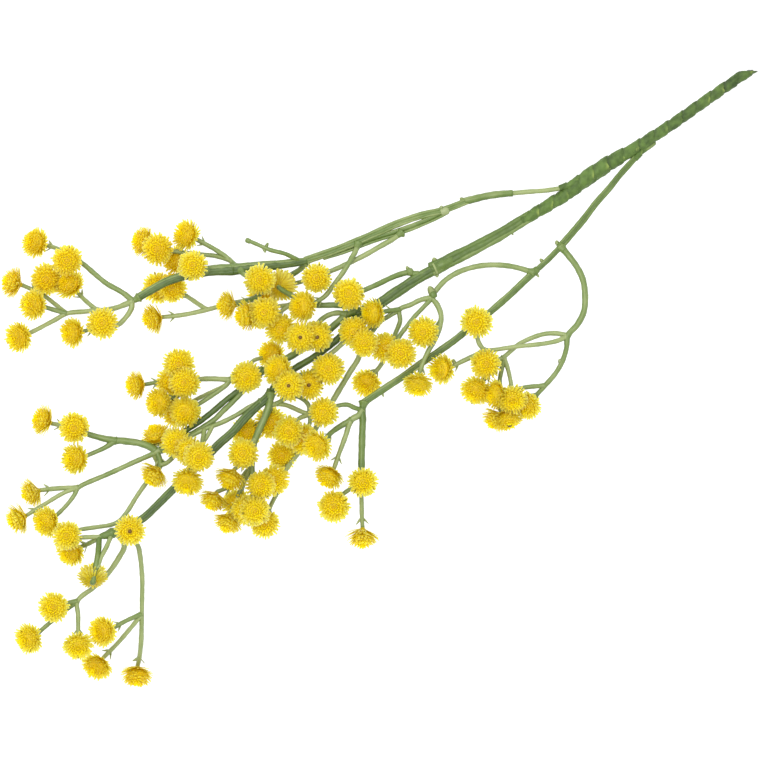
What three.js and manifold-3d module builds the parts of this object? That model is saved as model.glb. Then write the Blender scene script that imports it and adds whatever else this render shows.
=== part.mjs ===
// An artificial gypsophila spray: a taped wire stem, three moulded branches, and forked sprays of thin
// stalks, each tipped with layered yellow florets. Millimetres, +Z up. The spray lies on its side on the
// surface z = 0: the cut end, one floret at the far right and one at the far left carry it.
import * as THREE from "three";
import { mergeVertices } from "three/addons/utils/BufferGeometryUtils.js";
import Module from "manifold-3d";

const wasm = await Module();
wasm.setup();

// The layout below is written with the stem's cut end near x = 0 and the stem along +X.
// The part's origin is the middle of its own box, on the surface it lies on.
const ORIGIN_X = 204.84;
const ORIGIN_Y = -11.3;

// Driving sizes.
const FIT = 0.3; // clear gap between two pieces that touch on the real spray
const WIRE_RADIUS = 0.8;
const TAPE_PITCH = 7.8; // one turn of the tape
const TAPE_START = 4.05; // how much of a turn has passed where the stem line starts
const TAPE_STEP = 0.45; // how far the upper edge of a turn stands over the turn below
const TAPE_SIDES = 8;
const TAPE_RINGS_PER_TURN = 3;
const STALK_SIDES = 4;
const BRANCH_SIDES = 6;
const STRAIGHT_WITHIN = 0.45; // a route point this close to the straight line past it gets no ring
const FORK_SINK = 0.7; // a side stalk is thinner by this share where it starts inside another stalk
const TAPE_OVER = 0.7; // thickness of the tape laid over a branch's root
const COLLAR_WALL = 0.8; // wall of the socket that a spray is plugged into
const COLLAR_DEPTH = 0.9; // socket material behind the plugged end
const COLLAR_REACH = 2.2; // how far the socket stands out past the plugged end
const SIZE_SPREAD = 0.05; // florets differ in size by this share, either way
const SEED = 11;

// The petal layers of a floret, from the foot up: petals, tip radius, notch radius, tip height and
// notch height.
const PETAL_LAYERS = [
  [7, 6.85, 5.2, 4, 4.7],
  [5, 5.5, 4, 6.9, 6.6],
  [3, 3.5, 2, 8.9, 8.2],
];
const FLORET_HEART = 7.8; // height of the dip in the middle

const COLOUR = { green: 0x5f8a45, leaf: 0x769650, tape: 0x5c8348, yellow: 0xe9c21c, steel: 0x8d9294 };

// The middle line of the stem, from before the cut to where the middle branch leaves the tape.
const STEM_LINE = [
  [-7, -2, 2.3], [1, -1.8, 2.3], [20, -1, 4.4], [40, 0.1, 6.6], [57, 0.4, 8.6], [72, 0.6, 10.4], [85, 1, 12],
  [100, 1.6, 13.8], [114, 1.45, 15.4],
];
// Radius of the wrapped stem: distance along it, radius.
const STEM_RADII = [[-7, 2.1], [20, 2.3], [45, 2.4], [60, 2.5], [80, 2.65], [98, 2.85], [114, 2.45]];
const WIRE_END = 86; // the core wire reaches to where the middle branch's root starts
const WIRE_STANDS_OUT = 0.5; // bare wire seen at the cut end
// The stem is cut slantwise with a level blade: where the cut crosses the stem, and the way it faces,
// which would be 180 degrees if it were square to the stem.
const CUT_AT = [-1.8, -1.87, 2.3];
const CUT_FACES = (238 * Math.PI) / 180;

// The thick parts of the branches: name, first radius, last radius, route.
const BRANCH_A = [
  ["root", 0.95, 1.1, [[90, -0.9, 14.9], [97, -1.5, 15.4], [104, -4.2, 15.9], [111, -7.8, 16.3],
    [120, -12.4, 16.8]]],
  ["sleeve", 1.5, 1.65, [[118.4, -11.6, 16.7], [124, -14.5, 17], [130, -17, 17.4], [138.6, -19.9, 18]]],
  ["second strand", 1.1, 1.15, [[147.6, -20.9, 18.2], [154, -21.4, 18.8], [161, -22.4, 19.2],
    [170.5, -24.3, 19.8], [182, -27.4, 20.3], [191.3, -29.3, 20.8], [201, -31.6, 21.3], [206, -33, 21.7]]],
  ["neck", 1.25, 1.5, [[136.6, -19.1, 17.9], [144, -20.2, 18.4], [150, -21.6, 18.9], [156, -23.7, 19.3],
    [165, -26.2, 19.9], [172, -27.5, 20.3], [189.4, -29.9, 21.2], [202, -32.2, 21.8],
    [214, -35, 22.1]]],
  ["back", 1.6, 2.6, [[213, -34.7, 22.1], [221, -38.2, 22.4], [232, -43.6, 22.8], [243.8, -49.3, 23]]],
  ["shoulder", 2.6, 2.1, [[243, -48.9, 23], [254, -54.8, 23.2], [264, -58.6, 23.4]]],
  ["far", 1.95, 1.75, [[262, -58, 23.4], [272, -60.3, 23.5], [280, -60.8, 23.6], [286.8, -60.9, 23.7]]],
  ["bare twig", 1, 0.85, [[215.6, -36, 22.4], [219.6, -42.4, 25], [224.4, -47.5, 25.4],
    [228, -52.6, 24.6], [231.4, -57.4, 23.4]]],
];
const BRANCH_B = [
  ["root", 1.75, 2, [[88, 1.1, 12.4], [100, 1.6, 13.8], [114, 1.45, 15.4], [119, 1.4, 16]]],
  ["trunk", 2, 2.6, [[116.4, 1.4, 15.7], [128, 1.5, 17.2], [140, 1, 18.6], [150, 0.2, 19.9],
    [160, -0.7, 21.1], [168, -1.5, 22]]],
  ["sleeve", 2.9, 3, [[162.6, -1, 21.3], [167, -1.4, 21.9]]],
  ["trunk after the sleeve", 2.3, 2.3, [[166, -1.3, 21.8], [176, -1.8, 22.8], [186, -1.6, 24],
    [196, -1.3, 25.1], [207, -2.8, 26.3]]],
  ["dark strand", 1.5, 1.5, [[204.6, -2, 26.1], [209, -1.2, 26.8], [213, 0.6, 27.5], [220, 2.4, 28.3],
    [230, 3.6, 29.4], [245, 3.6, 30.8], [254, 4.8, 31.7], [258.4, 7, 32.1]]],
  ["light strand", 1.6, 1.5, [[204.6, -3, 26.1], [210, -4.6, 26.8], [216, -3.9, 27.4], [222, -3, 28],
    [232, -2.3, 29], [241, -2.1, 29.8], [250, -2.6, 30.4], [258, -3, 30.8], [264, -2, 31],
    [270, -0.6, 31]]],
  ["upper limb", 1.7, 1.5, [[257.4, 6.2, 32], [260, 7.9, 32.4], [266, 9, 33], [274, 10.6, 33.8],
    [281, 12.8, 34.2], [290, 14.4, 35], [300, 16.9, 35.6], [310, 18.8, 36.2], [320, 21.1, 36.8],
    [330, 23.4, 37.2], [338, 24.7, 37.6], [347, 24, 38]]],
  ["lower limb", 1.25, 1.3, [[268, -1.6, 31], [275, -1.1, 31], [285, 0.3, 31], [292, 1, 31.1],
    [301, 1.2, 31.2], [312.2, 2.6, 31.6]]],
  ["light strand of the lower limb", 1.15, 1.2, [[266, -1, 31], [275, 1.4, 31.2], [281, 2.6, 31.2],
    [287, 3.9, 31.2], [299, 3.8, 31.3], [311, 3, 31.6]]],
];
const BRANCH_C = [
  ["root", 0.95, 1.35, [[51.5, 2.3, 6.9], [57, 2.9, 8.1], [64, 4.6, 10], [72, 6.9, 11.8],
    [80, 9.6, 13], [90, 12.7, 14.6], [100, 16.4, 16.4], [112.7, 20.2, 18.6]]],
  ["trunk", 1.3, 1.3, [[111.6, 20, 18.4], [120, 22.2, 19.8], [129.5, 23.8, 21]]],
  ["far trunk", 1.5, 1.5, [[128, 23.6, 20.8], [140, 26, 22.6], [150, 27.8, 24], [160, 29.2, 25.3],
    [170, 30.2, 26.5], [180, 31.2, 27.6], [192, 31.6, 28.9], [205, 32.4, 30], [216, 32.7, 31],
    [226, 33, 32]]],
];

// The sprays. Each stalk is: name, first radius, last radius, route, and the way its floret faces
// (nothing where the stalk ends in a fork). A stalk that starts at another's point grows from it.
// The first stalk's first point is the end that is plugged into the branch.
const SPRAYS = {
  spray_c1: [
    ["loop", 1.35, 1.3, [[112.7, 20.9, 18.9], [112, 26, 20.8], [111.5, 32, 22.4], [112.9, 40, 24.4],
      [119, 50, 26.8], [125, 54, 27.8], [131.5, 56, 28.4]], []],
    ["upper arm", 1.1, 1.05, [[131.5, 56, 28.4], [135, 60.5, 28.2], [140, 64.7, 27.6],
      [146, 67.8, 26.8], [152, 69.6, 26]], []],
    ["L12", 1.05, 0.9, [[152, 69.6, 26], [157, 71, 25], [161.8, 72.2, 24.6]], [0.5, 0.15, 0.85]],
    ["L3", 1, 0.85, [[152, 69.6, 26], [158, 66.5, 27], [164.3, 63.9, 28.2],
      [169.2, 62, 29]], [0.75, -0.15, 0.6]],
    ["front arm", 1, 0.9, [[131.5, 56, 28.4], [136, 55.6, 29.6], [141, 54, 31], [147, 51.2, 32],
      [152, 48.7, 32], [158, 46, 31.4], [166.3, 41.7, 30.6]], []],
    ["back arm", 1.05, 0.95, [[131.5, 56, 28.4], [135, 52.6, 27.6], [140, 49.8, 27], [146, 48.2, 26.8],
      [152, 47.6, 27], [161, 48.8, 28]], []],
    ["L5", 0.95, 0.85, [[161, 48.8, 28], [165.5, 48.3, 28.4], [169, 47.2, 29]], [0.12, 0.02, 1]],
    ["L13", 0.95, 0.85, [[161, 48.8, 28], [162.3, 54.5, 27], [164.5, 60.7, 27],
      [167.2, 66, 29.6]], [0.15, 0.3, 0.95]],
    ["L1", 1, 0.9, [[161, 48.8, 28], [165, 53.4, 26.6], [168.4, 57.4, 25.6], [170.5, 62.9, 25.2],
      [173.3, 69.8, 26.4]], [0.23, 0.84, 0.5]],
    ["L2", 0.9, 0.85, [[171.5, 62, 25.2], [174.6, 65.6, 25], [175, 69.6, 24.8]], [0.94, 0.28, 0.17]],
    ["L4", 1, 0.9, [[161, 48.8, 28], [166, 50.6, 25.6], [171.7, 52.3, 24.8],
      [177.4, 53.8, 25.6]], [0.52, 0.25, 0.82]],
    ["P1", 1.1, 0.95, [[166.3, 41.7, 30.6], [167.2, 38.2, 31], [165.6, 33.4, 31.2],
      [162.8, 28.6, 31.2]], [0.06, 0.09, 0.99]],
    ["L6", 1.05, 0.95, [[166.3, 41.7, 30.6], [173, 41.2, 29.6], [179.4, 40.5, 29],
      [184.4, 40.2, 28.8]], [0.69, -0.34, 0.64]],
  ],
  spray_c2: [
    ["loop", 1.15, 1.1, [[129.9, 23.2, 21.3], [133.5, 19, 22.4], [138, 14.8, 23.2], [144, 10.6, 24.4],
      [150, 7.8, 25.4], [156, 6, 26.3], [161, 5.5, 27], [167, 6.1, 28], [174, 9.2, 29]], []],
    ["L7", 1.2, 0.95, [[174, 9.2, 29], [173.9, 13, 30], [175, 18, 31.2], [178.4, 22.3, 32.4],
      [183, 25.8, 33.4], [188, 28.4, 34], [193.3, 31.9, 34.4],
      [198.4, 36.2, 34.6]], [0.47, 0.61, 0.64]],
    ["L8", 0.95, 0.9, [[176.4, 20.2, 31.8], [180, 21.2, 31], [185.2, 20.5, 31.4]], [0.12, -0.07, 0.99]],
    ["K3", 0.95, 0.9, [[174, 9.2, 29], [180, 10.8, 29.2], [186, 12.4, 30], [192, 14.6, 31],
      [197.6, 17.4, 32], [199.4, 22.6, 33.6]], [0.02, 0.1, 1]],
    ["K4", 0.9, 0.85, [[192, 14.6, 31], [198, 16.4, 29.4], [203.7, 16.6, 27.6]], [0.12, 0.05, 1]],
    ["low arm", 1.1, 1, [[174, 9.2, 29], [179, 7.3, 28.4], [184, 6.8, 28.2], [189.4, 6, 28.4]], []],
    ["L9", 1, 0.9, [[189.4, 6, 28.4], [192, 10.5, 28], [196, 13.6, 27], [200.4, 16.6, 25.6],
      [205, 20, 23.6], [210.2, 22.8, 21.6], [218, 25.3, 20.2]], [0.4, 0.24, 0.88]],
    ["K1", 1, 0.95, [[189.4, 6, 28.4], [193.4, 4, 30.2], [197.1, 2.7, 32.2]], [0.73, -0.36, 0.57]],
    ["K5", 1, 0.9, [[189.4, 6, 28.4], [195, 5.9, 28.4], [200, 6, 29.2], [204.4, 7.7, 31.4],
      [210.3, 10, 34.6]], [0.12, 0.05, 1]],
    ["K6", 0.9, 0.85, [[200, 6, 29.2], [205.6, 5.8, 29.7], [211.5, 3.9, 30.5]], [0.12, -0.05, 1]],
  ],
  spray_c3: [
    ["hub", 1.4, 1.45, [[225.4, 33, 32], [227.6, 35.4, 32.6]], []],
    ["mast", 1.45, 1.45, [[227.6, 35.4, 32.6], [229.8, 39.4, 33.2], [235, 47, 34.2],
      [241.7, 57.4, 35]], []],
    ["L11", 1.05, 0.95, [[241.7, 57.4, 35], [243.2, 60, 35.6], [244.2, 62.9, 36.6]], [0.05, 0.05, 1]],
    ["H1", 1.05, 0.9, [[241.7, 57.4, 35], [245.6, 63.4, 33.6], [249.6, 70, 32.6], [252.8, 75.4, 31.8],
      [255.4, 80.2, 31]], [0.5, 0.8, 0.2]],
    ["H2", 0.95, 0.9, [[245.6, 63.4, 33.6], [250.6, 62.6, 32.4], [256.1, 63.1, 32],
      [260.9, 65, 32.6]], [0.1, 0.08, 1]],
    ["fork arm", 1.3, 1.3, [[227.6, 35.4, 32.6], [230.4, 36.5, 33.4], [234, 36.5, 33.8]], []],
    ["H3", 1.15, 0.9, [[234, 36.5, 33.8], [240, 41.2, 34.6], [246.2, 46, 35.2],
      [252.4, 51, 35.8]], [0.75, 0.35, 0.4]],
    ["H4", 1.25, 1, [[234, 36.5, 33.8], [240, 36.3, 34.4], [245.2, 36.7, 37],
      [250.1, 38.2, 41.2]], [0.67, -0.01, 0.74]],
    ["L10", 1, 0.9, [[227.6, 35.4, 32.6], [230, 32.6, 33.8], [232, 29.8, 34.4], [236.8, 27.7, 35],
      [242.5, 27.3, 36.6]], [0.07, -0.05, 1]],
  ],
  spray_b1: [
    ["K2", 1.25, 1.05, [[175, -3.4, 22.4], [176.6, -5.8, 22.8], [181, -7.4, 24], [186, -8.3, 25.4],
      [193, -9.1, 28], [199.9, -10.2, 30.8], [204.8, -11.8, 32.6]], [0.07, -0.05, 1]],
  ],
  spray_b2: [
    ["rail", 1.1, 1, [[210.6, 0.3, 27.8], [213.6, 3.4, 28.8], [218, 5, 29.6], [223, 6, 30.4],
      [228, 6.8, 31.2]], []],
    ["K11", 0.95, 0.9, [[228, 6.8, 31.2], [229.8, 8.8, 32.6], [230.7, 11.4, 34.2]], [0, 0.05, 1]],
    ["K12", 0.95, 0.9, [[228, 6.8, 31.2], [233.5, 8.4, 31.6], [238, 10.4, 31.2],
      [241.6, 12.8, 31.4]], [0.05, 0.05, 1]],
    ["K13", 0.95, 0.9, [[233.5, 8.4, 31.6], [239, 8.8, 34.2], [244, 9, 36.6],
      [249.4, 8.6, 38.8]], [0.05, 0, 1]],
    ["K14", 0.9, 0.85, [[239, 8.8, 34.2], [244, 6.4, 35], [248.4, 2.2, 34.6]], [0.38, -0.43, 0.82]],
  ],
  spray_b3: [
    ["rail", 1.15, 1.2, [[204.6, -0.9, 25.6], [206.4, 2.4, 25.8], [209.4, 6, 26], [212.4, 10, 26.4],
      [216.6, 14.6, 27], [223.8, 18.2, 28], [230, 21.4, 28.6], [236.5, 24.8, 29], [243, 28, 28.4]], []],
    ["tail", 1.2, 0.95, [[243, 28, 28.4], [250, 31.4, 27.4], [257, 34.6, 27], [263, 36.8, 27.4],
      [268, 38.4, 28], [273, 40.4, 28.6]], []],
    ["H7", 0.95, 0.9, [[257, 34.6, 27], [262.5, 34.4, 24.6], [268.6, 33.8, 22.6]], [0.1, 0, 1]],
    ["H8a", 0.95, 0.9, [[268, 38.4, 28], [272, 40.2, 29.8], [278.2, 39.4, 31]], [-0.03, 0.37, 0.93]],
    ["H9", 0.95, 0.9, [[273, 40.4, 28.6], [279, 46, 29], [285.6, 50.3, 30.6],
      [290.9, 54.8, 32.6]], [0.2, 0.16, 0.97]],
  ],
  spray_b4: [
    ["loop", 1.1, 1.1, [[211.4, -5.2, 27.2], [213.2, -7.2, 27.4], [218, -8.9, 28],
      [223.4, -8.3, 29.4]], []],
    ["K7", 1, 0.95, [[223.4, -8.3, 29.4], [225.6, -6, 31.2], [227.2, -4, 32.8]], [0.02, 0.12, 1]],
    ["K8", 1, 0.95, [[223.4, -8.3, 29.4], [228, -8, 32], [233.4, -7, 35]], [0.06, 0, 1]],
  ],
  spray_b5: [
    ["rail", 1.3, 1.2, [[206.2, -4.6, 26], [208.4, -7.6, 26], [212, -10.5, 26], [218, -14.2, 25.8],
      [222.5, -17.6, 25.6], [225.8, -22.4, 26.2]], []],
    ["K20", 1.2, 1, [[225.8, -22.4, 26.2], [227.6, -26, 28.8], [229.6, -29.6, 31.2],
      [230.2, -31.4, 31.4]], [-0.3, -0.06, -0.95]],
    ["arm", 1, 0.95, [[225.8, -22.4, 26.2], [230.4, -22, 27], [235.4, -21.2, 28]], []],
    ["K16", 0.9, 0.85, [[235.4, -21.2, 28], [237.2, -18.2, 28.2],
      [239.2, -15.6, 28.8]], [0.05, 0.08, 1]],
    ["K17", 0.95, 0.9, [[235.4, -21.2, 28], [237.6, -22.8, 31], [241.1, -25.1, 34]], [0.08, 0, 1]],
    ["K18", 0.9, 0.85, [[230.4, -22, 27], [236, -24.6, 25], [243.4, -25.6, 24.4]], [0.15, 0, 1]],
    ["K19", 0.9, 0.85, [[235.4, -21.2, 28], [240, -25.4, 30.4],
      [245.5, -26.4, 32.8]], [0.85, -0.42, 0.25]],
  ],
  spray_b6: [
    ["crown", 1.6, 1.3, [[258.8, 7.6, 32.3], [262, 11.4, 33.4], [266, 14.8, 34], [270, 17.4, 34.5],
      [275, 20.8, 35], [279.5, 25.4, 35.6], [283, 30.4, 36]], []],
    ["upper", 1.2, 1.2, [[283, 30.4, 36], [286.4, 36.6, 36.6], [289, 41.2, 37],
      [290.6, 44.6, 37.4]], []],
    ["H10", 0.95, 0.9, [[290.6, 44.6, 37.4], [291.4, 47, 39], [292.5, 48, 41]], [0, 0.08, 1]],
    ["H11", 0.95, 0.9, [[290.6, 44.6, 37.4], [293, 44.2, 36.8], [295.1, 45.7, 36]], [0.2, 0.05, 0.97]],
    ["H8b", 0.95, 0.9, [[286.4, 36.6, 36.6], [284.6, 38.6, 37.4],
      [284.3, 39.6, 38.6]], [-0.05, 0.1, 1]],
    ["H12", 0.95, 0.9, [[283, 30.4, 36], [286.4, 32.6, 35], [290.4, 35.2, 33.6], [295, 38.2, 32.8],
      [299.5, 41.1, 33], [302.4, 43.6, 33.6]], [0.73, 0.62, 0.28]],
    ["H13", 0.9, 0.85, [[290.4, 35.2, 33.6], [293.4, 38, 29.6],
      [297.1, 41.2, 26.4]], [0.15, 0.1, 0.97]],
    ["H14", 0.95, 0.9, [[283, 30.4, 36], [287, 31.4, 34], [292, 33, 32.4], [298.2, 32.7, 32.2],
      [302.5, 31.9, 32.8]], [0.8, 0.54, 0.28]],
    ["H15", 0.95, 0.9, [[279.5, 25.4, 35.6], [284.6, 27, 37], [290.3, 27.5, 38.2]], [0.8, 0.54, 0.28]],
    ["H16", 0.95, 0.9, [[275, 20.8, 35], [278.4, 22, 37.6], [282.8, 23.8, 40.4]], [0.09, -0.06, 0.99]],
    ["N1", 0.9, 0.85, [[262, 11.4, 33.4], [262.8, 14.6, 28.6], [265, 17.8, 23]], [0.1, 0.1, 1]],
    ["N2", 0.9, 0.85, [[266, 14.8, 34], [270.6, 16.2, 28], [276.6, 16.4, 22]], [0.15, 0, 1]],
    ["twig right", 1, 0.95, [[262, 11.4, 33.4], [259, 12.6, 31.8], [255.4, 15.4, 30.8],
      [250.8, 22, 30.6], [248.8, 24.4, 30.6]], []],
    ["twig left", 0.95, 0.9, [[259, 12.6, 31.8], [252, 13, 30.8], [248.6, 15.4, 30.4],
      [246.9, 20.4, 30.2], [248.8, 24.4, 30.6]], []],
    ["H6", 0.95, 0.9, [[248.8, 24.4, 30.6], [252.8, 23.6, 31.6], [256, 24, 33],
      [260, 25.8, 34.8]], [0.15, 0.08, 0.98]],
    ["H5", 0.9, 0.85, [[248.8, 24.4, 30.6], [250.4, 27.6, 30.4], [253.4, 29.6, 29.8],
      [256.4, 32, 29.2]], [0.15, 0.1, 0.98]],
  ],
  spray_b7: [
    ["rail", 0.95, 1, [[264.8, 8, 32.4], [269, 7.3, 32.2], [275, 7.4, 32.3], [280, 7.1, 32.5],
      [285, 6.5, 33], [288.5, 5.8, 33.8]], []],
    ["G4", 1, 0.9, [[288.5, 5.8, 33.8], [292.4, 5.1, 34.2], [299, 4.5, 34.3],
      [305.2, 4.8, 34.2]], [0.2, -0.25, 0.94]],
    ["G3", 0.85, 0.85, [[288.5, 5.8, 33.8], [293, 8.5, 35.8], [298, 10.4, 38.2],
      [302.5, 9.5, 39.6]], [0.15, 0.08, 0.98]],
    ["G2", 1, 0.9, [[292.4, 5.1, 34.2], [294.6, 7.8, 37.2], [297.4, 11, 41],
      [300.9, 13.6, 44.6]], [0.02, 0.17, 0.98]],
  ],
  spray_b8: [
    ["rail", 1.1, 1.2, [[257, -4, 30.5], [259.6, -6.6, 29.9], [262, -7.6, 29.5], [266, -8, 29.2],
      [270.8, -7.6, 29]], []],
    ["G1", 1, 0.95, [[262, -7.6, 29.5], [263.4, -7.2, 31.8], [263.9, -5.6, 34.2]], [0, 0.2, 0.98]],
    ["K15", 0.9, 0.85, [[262, -7.6, 29.5], [257, -9.4, 25.6], [247, -5.2, 20.6]], [0.49, -0.56, 0.67]],
    ["G8a", 1.05, 0.9, [[270.8, -7.6, 29], [274, -6.5, 29.3], [286.1, -5.9, 30.2],
      [293.8, -6, 30.6]], [0.37, 0.01, 0.93]],
    ["G8b", 0.9, 0.85, [[274, -6.5, 29.3], [286, -8, 26], [293, -8.4, 23.4],
      [298, -8.2, 22.2]], [0.3, 0.05, 0.95]],
    ["back arm", 1.15, 1.05, [[270.8, -7.6, 29], [276.6, -11.8, 27.6], [283, -15.4, 26.6]], []],
    ["G10", 0.95, 0.9, [[283, -15.4, 26.6], [285.4, -15.8, 29],
      [288, -16.9, 31.6]], [0.18, -0.11, 0.98]],
    ["G11", 0.95, 0.9, [[283, -15.4, 26.6], [285, -20, 26.8],
      [286.9, -25.2, 27.6]], [-0.07, -0.12, 0.99]],
    ["G12", 0.9, 0.85, [[283, -15.4, 26.6], [288, -18.2, 23], [293, -20.4, 20]], [0.15, -0.02, 0.98]],
    ["G9", 0.95, 0.9, [[283, -15.4, 26.6], [289, -14.2, 26], [295.4, -14, 26.4],
      [301.4, -14.9, 27.2]], [0.51, -0.25, 0.82]],
    ["G13", 0.9, 0.85, [[288, -18.2, 23], [293, -21.4, 22], [299, -24, 22.4],
      [304.4, -26.2, 23]], [0.85, -0.4, 0.3]],
  ],
  spray_b9: [
    ["shoulder", 1.3, 1.5, [[344.8, 24.4, 37.9], [349, 23.2, 38]], []],
    ["pad", 2.7, 1.2, [[349, 23.2, 38], [352, 22.7, 38], [355, 22.1, 38], [357.6, 21.4, 38]], []],
    ["F7", 1.05, 0.95, [[351, 22.9, 38], [349.4, 24.6, 41], [344.3, 25.8, 43.6]], [0.04, 0.06, 1]],
    ["F1 arm", 1.1, 0.95, [[351, 22.9, 38], [347.8, 27.2, 35.4], [345.4, 33, 32.4], [347.2, 38.4, 30.4],
      [351, 46, 27.4], [355, 52.4, 25], [360.4, 60.6, 21.4]], []],
    ["F1", 1.1, 0.95, [[360.4, 60.6, 21.4], [366, 69, 15.4], [371.6, 76.3, 9.4],
      [374.9, 79.6, 4.2]], [0.53, 0.76, 0.37]],
    ["F2", 1, 0.9, [[360.4, 60.6, 21.4], [367.6, 63.2, 19.6], [375.9, 65.8, 18],
      [386.9, 68.5, 16.6]], [0.71, 0.28, 0.64]],
    ["F3", 1, 0.9, [[360.4, 60.6, 21.4], [367, 59.6, 22.8], [377.1, 59, 25.4]], [0.51, -0.25, 0.82]],
    ["F4 arm", 1.3, 1, [[351, 22.9, 38], [350, 26.8, 34.8], [350.8, 30.8, 32], [355.4, 33.6, 31],
      [364, 37.3, 31], [372, 39, 31.4], [381.6, 40.4, 32]], []],
    ["F4", 1, 0.9, [[381.6, 40.4, 32], [384.8, 46, 32.6], [390.8, 55.8, 33.4]], [0.26, 0.42, 0.87]],
    ["F5", 1, 0.9, [[381.6, 40.4, 32], [390, 41.2, 31.6], [399.8, 42.4, 31],
      [406.7, 43.6, 30.6]], [0.56, -0.1, 0.82]],
    ["F6", 1, 0.9, [[381.6, 40.4, 32], [386, 38.6, 33], [391.3, 37.4, 34.6]], [0.15, -0.09, 0.98]],
    ["F8 left", 0.95, 1, [[353, 23.4, 38.4], [357.6, 26.7, 40.4], [362, 29.3, 42.8],
      [366, 32.6, 44.9]], []],
    ["F8", 1.2, 1.2, [[357.6, 21.4, 38], [360.6, 25, 40.8], [363.4, 28.6, 43.4], [366.6, 32.2, 44.8],
      [371.2, 37.1, 44.6]], [-0.37, -0.6, -0.71]],
    ["F9b", 1, 0.9, [[357.6, 21.4, 38], [362, 21.2, 35.8], [366, 20.8, 32.8],
      [369.2, 19.9, 30.8]], [0.71, 0, 0.71]],
    ["F9 prop", 0.95, 0.9, [[357.6, 21.4, 38], [361, 19.2, 38.4], [365, 17, 38.8],
      [367.6, 15.6, 37.4]], []],
  ],
  spray_b10: [
    ["hub", 1.45, 1.3, [[312.2, 2.9, 31.6], [317, 2.4, 32]], []],
    ["G5", 1.15, 0.95, [[315.8, 2.7, 31.9], [316.5, 6, 32.6], [317.6, 8.3, 33.5],
      [318.4, 9.1, 34]], [0.91, 0.35, 0.21]],
    ["long arm", 1, 0.9, [[317, 2.4, 32], [318.4, 7, 29.8], [321.8, 10, 28.6], [327, 11.6, 29.2],
      [335, 15, 31], [342, 18.4, 32.4], [347, 19.8, 33], [350.5, 19.3, 33.6], [357, 16.6, 35.2],
      [364, 13.6, 37.2]], []],
    ["F9a", 0.95, 0.95, [[364, 13.6, 37.2], [367, 13.2, 37.8], [369.6, 13, 38.4]], [0.06, 0, 1]],
    ["mid arm", 1.1, 1, [[317, 2.4, 32], [320, 1.9, 31.9], [330, 0.5, 31.8], [340, -0.8, 31.6],
      [354.4, -2.6, 31.2]], []],
    ["F10", 0.95, 0.85, [[354.4, -2.6, 31.2], [357.4, -0.9, 31.2], [362.6, 1.1, 31.2],
      [371.7, 3.3, 31.6]], [0.63, -0.14, 0.77]],
    ["F11", 0.95, 0.85, [[354.4, -2.6, 31.2], [360, -4, 30.4], [370.8, -4.4, 29.6],
      [380.6, -4.4, 29]], [0.97, -0.17, 0.17]],
    ["F12", 1.1, 0.95, [[354.4, -2.6, 31.2], [360, -6, 29], [366, -9.1, 26.6],
      [369.5, -10.8, 25.2]], [0.96, -0.22, 0.17]],
    ["low arm", 1.5, 1.45, [[316, 1.8, 31.9], [317, -0.8, 31], [320.2, -4.8, 29.6], [324.4, -8.4, 28.8],
      [328.6, -11.4, 28]], []],
    ["F13", 1, 0.9, [[328.6, -11.4, 28], [335, -11.6, 28.6], [343, -12.8, 29.2],
      [346.5, -13.2, 29.4]], [0.5, -0.28, 0.82]],
    ["F14", 1.5, 1.05, [[328.6, -11.4, 28], [333.6, -16, 27.4], [338.4, -21.4, 27.4],
      [341.3, -26.2, 28.2]], [0.09, -0.06, 0.99]],
    ["F15", 1, 0.9, [[338.4, -21.4, 27.4], [343, -27, 22], [347.1, -31.4, 19.6],
      [349.5, -33.7, 19]], [0.59, -0.73, 0.34]],
    ["G6", 1, 0.95, [[317, -0.8, 31], [315, -0.6, 27], [313.3, 0.1, 24.6]], [-0.25, -0.91, 0.34]],
    ["G4 side", 1, 0.9, [[317.6, 8.3, 33.5], [314.6, 9, 33.2], [311, 8.3, 32.6], [308, 7.2, 31.6]], []],
  ],
  spray_b11: [
    ["G7", 1.2, 1, [[304.2, 17.5, 36.7], [305.8, 18.3, 38.9], [307.5, 18.7, 40.6],
      [309, 18.9, 41.8]], [0.46, 0.49, 0.74]],
  ],
  spray_a1: [
    ["rail", 1.15, 1.05, [[170.6, -23, 20.6], [175, -22.6, 21.6], [182, -22.8, 23], [192, -23.3, 24],
      [201, -24.3, 24.6], [207.4, -25.3, 25]], []],
    ["K10", 1.05, 0.95, [[207.4, -25.3, 25], [210.8, -25.8, 26.6], [213.4, -25.8, 29]], [0.02, 0, 1]],
    ["K22", 0.95, 0.9, [[207.4, -25.3, 25], [213, -26.6, 22.4], [219, -27.8, 20], [225, -29.6, 16.6],
      [231.4, -31, 11.6], [238.6, -31.4, 8.4]], [0.1, 0, 1]],
  ],
  spray_a2: [
    ["K9", 1.15, 0.95, [[189.8, -28.9, 21.8], [191.8, -27.2, 23.6], [195.6, -25, 27], [201, -22.2, 29],
      [208, -19.4, 29.4], [214.5, -17, 29.6], [223.4, -17, 30.8]], [0.49, -0.3, 0.82]],
  ],
  spray_a3: [
    ["rail", 1.25, 1.05, [[214.2, -34.2, 21.2], [217.8, -33.2, 19], [224, -33.2, 17.6],
      [232, -33.6, 18], [238, -33.4, 19], [243, -33.1, 20.6]], []],
    ["G14", 1.05, 0.95, [[243, -33.1, 20.6], [247, -34.2, 22.4],
      [250.6, -34.6, 24]], [0.85, -0.5, 0.15]],
    ["far arm", 1.05, 1, [[243, -33.1, 20.6], [249, -35.4, 18.6], [256, -37.9, 18],
      [263, -40, 18.6]], []],
    ["F16", 1, 0.9, [[263, -40, 18.6], [270, -42.4, 19.4], [277, -45.4, 19.8],
      [281.8, -47.8, 19.8]], [0.9, -0.35, 0.25]],
    ["F17", 1, 0.9, [[263, -40, 18.6], [264.8, -44, 16.6], [267.6, -50.1, 13.4],
      [270.6, -56.2, 11.6]], [0.1, -0.1, 0.98]],
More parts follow.
